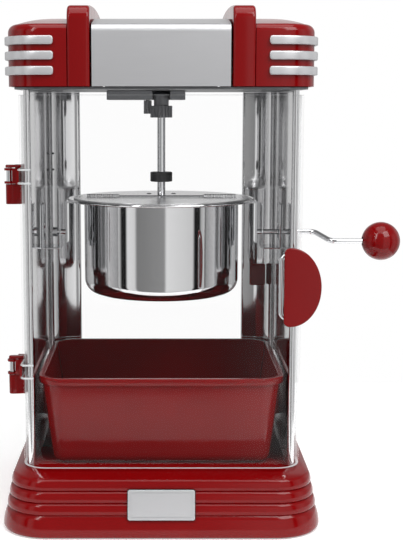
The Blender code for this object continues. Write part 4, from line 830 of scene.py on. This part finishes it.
def roof_path(front, bottom, top, radius, rise, inset):
    """Side view of a bent sheet: up the front, round the shoulder, over the crown, and down the back."""
    half = [(-(front - inset), bottom)] + arc((-(front - radius), top - radius), radius - inset, 180, 90, 12)
    reach = front - radius
    for i in range(1, 17):
        left = 1 - i / 16
        half.append((-reach * left, top - inset + rise * (1 - left**2)))
    return half + [(-y, z) for y, z in reversed(half[:-1])]


BRUSHED_ALUMINIUM = brushed_aluminium()
low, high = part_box("canopy_housing")
canopy_low_z = low.z
canopy_rise = 0.0100
canopy_edge = 0.0070
canopy_top = high.z - canopy_rise
canopy_front = high.y
housing_sheet = 0.0020
outer = roof_path(canopy_front, canopy_low_z, canopy_top, canopy_edge, canopy_rise, 0.0)
inner = roof_path(canopy_front, canopy_low_z, canopy_top, canopy_edge, canopy_rise, housing_sheet)
rows = []
for (oy, oz), (iy, iz) in zip(outer, inner):
    rows.append([Vector(p) for p in ((low.x, oy, oz), (low.x, iy, iz), (high.x, iy, iz), (high.x, oy, oz))])
housing = piece("bent_housing", rows)
fit(housing, "cabinet", "silver_paint", "canopy_housing")
dress(housing, BRUSHED_ALUMINIUM)


# ---------------------------------------------------------------- canopy arches
# Two raised red bands over the canopy, clipped between the housing and the end caps. Their upper edges are
# rounded and they thin a little towards the crown.
arch_stand = 0.0150
arch_rise = 0.0050
arch_shoulder = 0.0120
arch_depth = 0.0160
arch_edge = 0.0026
for side, sign in (("left", -1), ("right", 1)):
    low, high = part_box(f"canopy_arch_{side}")
    inner_x, outer_x = sorted((abs(low.x), abs(high.x)))
    top = high.z - arch_rise
    front = high.y
    layers = [roof_path(front, canopy_low_z, top, arch_shoulder, arch_rise, inset)
              for inset in [arch_edge * (1 - sin(radians(15 * i))) for i in range(7)]]
    under = roof_path(front, canopy_low_z, top, arch_depth + 0.0003, arch_rise, arch_depth)
    reach = [arch_edge * (1 - cos(radians(15 * i))) for i in range(7)]
    rows = []
    for k, (y, z) in enumerate(under):
        section = [(inner_x, y, z)]
        section += [(inner_x + reach[i], *layers[i][k]) for i in range(7)]
        section += [(outer_x - reach[i], *layers[i][k]) for i in reversed(range(7))]
        section += [(outer_x, y, z)]
        rows.append([Vector((sign * px, py, pz)) for px, py, pz in section])
    arch = piece(f"red_arch_{side}", rows)
    fit(arch, "cabinet", "red_plastic", f"canopy_arch_{side}")
    dress(arch, RED_ABS)


# ---------------------------------------------------------------- canopy end caps
# Hollow red mouldings on the canopy's ends, round at their outer corners, with a gently domed roof.
cap_wall = 0.0020
cap_corner = 0.0300
for side, sign in (("left", -1), ("right", 1)):
    low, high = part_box(f"canopy_end_{side}")
    inner_x, outer_x = sorted((abs(low.x), abs(high.x)))
    depth = high.y

    def cap_plan(inset, from_arch=0.0):
        """Plan of the cap: square beside the arch and round outside."""
        radius = cap_corner - inset
        x, y = outer_x - inset, depth - inset
        front = arc((x - radius, radius - y), radius, -90, 0, 18)
        rear = arc((x - radius, y - radius), radius, 0, 90, 18)
        return [(inner_x + from_arch, -y)] + front + rear + [(inner_x + from_arch, y)]

    plans = [(cap_plan(cap_wall, cap_wall), canopy_top - canopy_edge), (cap_plan(cap_wall, cap_wall), low.z)]
    plans.append((cap_plan(0.0), low.z))
    for i in range(9):
        a = radians(90 * i / 8)
        plans.append((cap_plan(canopy_edge * (1 - cos(a))), canopy_top - canopy_edge + canopy_edge * sin(a)))
    roof = cap_plan(canopy_edge)
    for i in range(1, 13):
        share = 1 - 0.95 * i / 12
        across = 0.3 + 0.7 * share
        plan = [(inner_x + (x - inner_x) * across, y * share) for x, y in roof]
        plans.append((plan, canopy_top + canopy_rise * (1 - share**2)))
    rows = [[Vector((sign * x, y, z)) for x, y in plan] for plan, z in plans]
    cap = piece(f"red_end_cap_{side}", rows)
    fit(cap, "cabinet", "red_plastic", f"canopy_end_{side}")
    dress(cap, RED_ABS)


# ---------------------------------------------------------------- trim bars
# Three lacquered bars on each end cap, from the front round both corners to the back. Each is moulded with
# a flattened half-round section and round ends, and clipped into the cap.
for node in [name for name in nodes if name.startswith("trim_bar_")]:
    low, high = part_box(node)
    sign = 1 if high.x > 0 else -1
    outer_x = max(abs(low.x), abs(high.x))
    end_x = min(abs(low.x), abs(high.x))
    thickness = 0.0027
    corner = (outer_x - thickness - cap_corner, high.y - thickness - cap_corner)
    tall = high.z - low.z

    def bar_plan(out):
        radius = cap_corner + out
        front = arc((corner[0], -corner[1]), radius, -90, 0, 18)
        rear = arc(corner, radius, 0, 90, 18)
        front_y = corner[1] + radius
        flat = [end_x + (corner[0] - end_x) * i / 6 for i in range(1, 6)]
        start = [(end_x, -front_y)] + [(x, -front_y) for x in flat]
        return start + front + rear + [(x, y) for x, y in reversed([(p, front_y) for p in [end_x] + flat])]

    flat_face = bar_plan(thickness)
    back_face = bar_plan(0.0)
    count = len(flat_face)
    rows = []
    run = [0.0]
    for before, after in zip(flat_face, flat_face[1:]):
        run.append(run[-1] + sqrt((after[0] - before[0]) ** 2 + (after[1] - before[1]) ** 2))
    end_round = tall * 0.30
    stations = sorted(set([end_round * (1 - cos(radians(15 * i))) for i in range(7)]
                          + [run[-1] - end_round * (1 - cos(radians(15 * i))) for i in range(7)] + run[2:-2]))

    def along(points, distance):
        """The point at a distance along the bar's face, and how far between its neighbours it lies."""
        for i in range(count - 1):
            if distance <= run[i + 1] + 1e-9:
                t = (distance - run[i]) / (run[i + 1] - run[i])
                return [points[i][k] * (1 - t) + points[i + 1][k] * t for k in (0, 1)]
        return list(points[-1])

    for distance in stations:
        from_end = min(distance, run[-1] - distance)
        close = max(0.0, 1 - from_end / end_round)
        half = tall / 2 - end_round * (1 - sqrt(1 - close**2)) if close < 1 else tall / 2 - end_round
        half = max(half, 0.0006)
        ox, oy = along(flat_face, distance)
        ix, iy = along(back_face, distance)
        middle = (low.z + high.z) / 2
        edge = min(0.0011, half * 0.6)
        section = [(0.0, -half)]
        section += [(1 - (edge / thickness) * (1 - sin(radians(22.5 * i))), -half + edge * (1 - cos(radians(22.5 * i))))
                    for i in range(5)]
        section += [(u, -v) for u, v in reversed(section)]
        rows.append([Vector((sign * (ix + (ox - ix) * u), iy + (oy - iy) * u, middle + v)) for u, v in section])
    bar = piece("lacquered_" + node, rows, smooth=45)
    fit(bar, "cabinet", "silver_paint", node)
    dress(bar, SILVER_LACQUER)


# ---------------------------------------------------------------- switch and cord gland
# A rocker switch snapped into the housing's back, and the gland that the mains lead comes out of.
keep("switch_bezel", BLACK_ABS, 0.0005)
keep("switch_rocker", RED_ABS, 0.0004)
keep("cord_gland", BLACK_ABS, 0.0004)


# ---------------------------------------------------------------- door
# One sheet of clear acrylic, heat-bent round both front corners. Its sawn edges are flame-polished, and the
# white glow that they gather from the sheet is painted on them. A red pull stands on a chromed bracket, and
# two red hinges swing it to the left.
def painted_light_acrylic_edge():
    """The acrylic's sawn and flamed edge, with painted glow: milky white, for the light it gathers from the sheet."""
    saw_mm = 0.8
    material, tree, shader, place = new_material("flamed_acrylic_edge_painted_light")
    marks = add_node(tree, "TexNoise", {"Vector": place, "Scale": 1000 / saw_mm, "Detail": 2.0})
    gloss = add_node(tree, "MapRange", {0: marks.outputs[0], 1: 0.3, 2: 0.7, 3: 0.15, 4: 0.3})
    # Painted glow: the milky white colour and half transparency stand in for light gathered through the sheet.
    shader.inputs["Base Color"].default_value = linear("#e6e9ea")
    shader.inputs["Alpha"].default_value = 0.55
    tree.links.new(gloss.outputs[0], shader.inputs["Roughness"])
    return material


ACRYLIC_EDGE_PAINTED_LIGHT = painted_light_acrylic_edge()
door_low, door_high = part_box("door_panel")
door_thickness = 0.0025
door_corner = 0.0220


def door_plan(inset):
    """Plan of the door from its left wing's edge round the front to its right wing's edge."""
    x = door_high.x - inset
    centre_x = door_high.x - door_corner
    centre_y = door_low.y + door_corner
    left = arc((-centre_x, centre_y), door_corner - inset, 180, 270, 24)
    right = arc((centre_x, centre_y), door_corner - inset, 270, 360, 24)
    return [(-x, door_high.y)] + left + right + [(x, door_high.y)]


rows = []
soft = 0.0003
for (ox, oy), (ix, iy) in zip(door_plan(0.0), door_plan(door_thickness)):
    near_o = (ox + (ix - ox) * 0.12, oy + (iy - oy) * 0.12)
    near_i = (ox + (ix - ox) * 0.88, oy + (iy - oy) * 0.88)
    section = [(ox, oy, door_low.z + soft), (*near_o, door_low.z), (*near_i, door_low.z),
               (ix, iy, door_low.z + soft), (ix, iy, door_high.z - soft), (*near_i, door_high.z),
               (*near_o, door_high.z), (ox, oy, door_high.z - soft)]
    rows.append([Vector(p) for p in section])
panel = piece("bent_acrylic_door", rows)
fit(panel, "door", "clear_acrylic", "door_panel")
dress(panel, CLEAR_ACRYLIC, ACRYLIC_EDGE_PAINTED_LIGHT)
# The top and bottom edges and the wing ends take the edge's painted glow.
for face in panel.data.polygons:
    low_edge = all(panel.data.vertices[i].co.z < door_low.z + 2 * soft for i in face.vertices)
    high_edge = all(panel.data.vertices[i].co.z > door_high.z - 2 * soft for i in face.vertices)
    if low_edge or high_edge or len(face.vertices) > 4:
        face.material_index = 1

handle_low, handle_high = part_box("door_handle")
flat = 0.0060
straight_z = (handle_low.z + handle_high.z) / 2
half_tall = (handle_high.z - handle_low.z) / 2
reach = handle_high.x - handle_low.x - flat
corner = 0.0050
outline = [(handle_low.x + flat + reach * cos(a), straight_z + half_tall * sin(a))
           for a in (radians(-90 + 180 * i / 48) for i in range(49))]
outline += arc((handle_low.x + corner, straight_z + half_tall - corner), corner, 90, 180, 8)[1:]
outline += arc((handle_low.x + corner, straight_z - half_tall + corner), corner, 180, 270, 8)[:-1]
rows = [[Vector((x, y, z)) for x, z in outline] for y in (handle_high.y, handle_low.y)]
handle = piece("red_pull", rows)
break_edges(handle, 0.0011, 5)
fit(handle, "door", "red_plastic", "door_handle")
dress(handle, RED_ABS)
low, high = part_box("handle_bracket")
rod = (high.y - low.y) / 2
run_x = low.x + rod
bend = 0.0060
middle_y = (low.y + high.y) / 2
bottom, top = low.z + rod, high.z - rod
path = [(high.x, bottom)] + arc((run_x + bend, bottom + bend), bend, 270, 180, 8)
path += arc((run_x + bend, top - bend), bend, 180, 90, 8) + [(high.x, top)]
bracket = tube("bent_rod_bracket", [Vector((x, middle_y, z)) for x, z in path], rod)
fit(bracket, "door", "chrome_steel", "handle_bracket")
dress(bracket, CHROME_PLATE)


# ---------------------------------------------------------------- hinges
# Each hinge has a red leaf on the wall with the lower knuckle, a chromed pin with a red cap, and a red leaf
# on the door whose two eyes ride on the pin. Clear ears of the door reach into the leaf.
eye_wall = 0.0009
eye_tall = 0.0020
cap_tall = 0.0025
for where in ("lower", "upper"):
    pin_low, pin_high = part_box(f"hinge_pin_{where}")
    leaf_low, leaf_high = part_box(f"hinge_wall_leaf_{where}")
    grip_low, grip_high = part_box(f"hinge_door_leaf_{where}")
    barrel = (pin_high.x - pin_low.x) / 2
    axis = Vector(((pin_low.x + pin_high.x) / 2, (pin_low.y + pin_high.y) / 2, 0.0))
    knuckle_top = grip_low.z - 0.0005
    wall_face = leaf_high.x
    inner = axis.x + barrel

    # The knuckle's front is one soft swell from the barrel across to the wall.
    def knuckle(inset):
        points = arc((axis.x, axis.y), barrel - inset, 90, 250, 20)
        reach = -0.1242 - axis.x
        for i in range(1, 13):
            t = i / 12
            points.append((axis.x + reach * t - inset * t, axis.y - (barrel - inset) * cos(t * pi / 2.6)))
        return points + [(-0.1242 - inset, axis.y + barrel * 0.9)]

    soft = 0.0007
    rows = []
    for z, inset in ((leaf_low.z, soft), (leaf_low.z + 0.0002, soft * 0.3), (leaf_low.z + soft, 0.0),
                     (knuckle_top - soft, 0.0), (knuckle_top - 0.0002, soft * 0.3), (knuckle_top, soft)):
        rows.append(level(knuckle(inset), z))
    body = piece(f"hinge_knuckle_{where}", rows, smooth=50)
    fit(body, "cabinet", "red_plastic")
    dress(body, RED_ABS)
    keep(f"hinge_wall_leaf_{where}", RED_ABS, 0.0005)
    keep(f"hinge_door_leaf_{where}", RED_ABS, 0.0005)

    core = 0.0024
    profile = [(0.0014, pin_low.z), (0.0014, knuckle_top), (core, knuckle_top), (core, pin_high.z - cap_tall)]
    pin = turned(f"chromed_hinge_pin_{where}", profile, (axis.x, axis.y, 0.0), 40)
    fit(pin, "cabinet", "chrome_steel", f"hinge_pin_{where}")
    dress(pin, CHROME_PLATE)
    rows = [level(knuckle(inset), z) for z, inset in
            ((pin_high.z - cap_tall, 0.0), (pin_high.z - soft, 0.0), (pin_high.z, soft))]
    cap = piece(f"hinge_cap_{where}", rows, smooth=50)
    fit(cap, "cabinet", "red_plastic")
    dress(cap, RED_ABS)

    # Two clear hooks of the door run forward from the leaf and turn in ahead of the wall's front hem. They are dressed
    # milky white as painted highlight, for the light that catches their clear edges.
    for number, z in enumerate((grip_low.z + 0.0016, grip_high.z - 0.0004), 1):
        wire = 0.0009
        front_y, back_y = wall_low.y - wire - 0.0006, door_high.y - 0.0010
        loop_out, loop_in = -0.1242, -0.1132
        plan = [(loop_out, back_y)] + arc((loop_out + 0.004, front_y + 0.004), 0.004, 180, 270, 6)
        plan.append((loop_in, front_y))
        loop = tube(f"clear_loop_{where}_{number}", [Vector((x, y, z)) for x, y in plan], wire, 12)
        fit(loop, "door", "clear_acrylic")
        dress(loop, ACRYLIC_EDGE_PAINTED_LIGHT)


# ---------------------------------------------------------------- tray
# A red tub, thermoformed with a rolled rim and a taper so that it lifts out, that catches the popcorn on
# the deck.
tray_low, tray_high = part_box("popcorn_tray")
lip = 0.0030
lip_height = 0.0062
tray_taper = 0.0085
tray_wall = 0.0020
tray_corner = 0.0200
floor_radius = 0.0090
half_x = (tray_high.x - tray_low.x) / 2 - lip
half_y = (tray_high.y - tray_low.y) / 2 - lip
tray_centre = (0.0, (tray_low.y + tray_high.y) / 2)


def tray_ring(inset, z):
    return level(rounded(half_x - inset, half_y - inset, tray_corner - inset, 14, tray_centre), z)


def tray_side(inset, bottom, radius):
    """Rings from under the rim down to the floor, with a round edge to the floor."""
    rings = [tray_ring(inset, tray_high.z - lip_height)]
    side = inset + tray_taper
    for i in range(9):
        a = pi / 2 * i / 8
        rings.append(tray_ring(side + radius * (1 - cos(a)), bottom + radius * (1 - sin(a))))
    return rings


rim = 0.0008
rim_rings = [tray_ring(tray_wall - rim * (1 - cos(a)), tray_high.z - rim * (1 - sin(a)))
             for a in (radians(15 * i) for i in range(7))]
rim_rings += [tray_ring(-lip + rim * (1 - sin(a)), tray_high.z - rim * (1 - cos(a)))
              for a in (radians(15 * i) for i in range(7))]
rim_rings += [tray_ring(-lip, tray_high.z - lip_height + 0.0006), tray_ring(-lip + 0.0005, tray_high.z - lip_height)]
outer = tray_side(0.0, tray_low.z, floor_radius)
inner = tray_side(tray_wall, tray_low.z + tray_wall, floor_radius - tray_wall)
tray = piece("red_tub", list(reversed(inner)) + rim_rings + outer, smooth=50)
fit(tray, "tray", "red_plastic", "popcorn_tray")
dress(tray, RED_ABS)
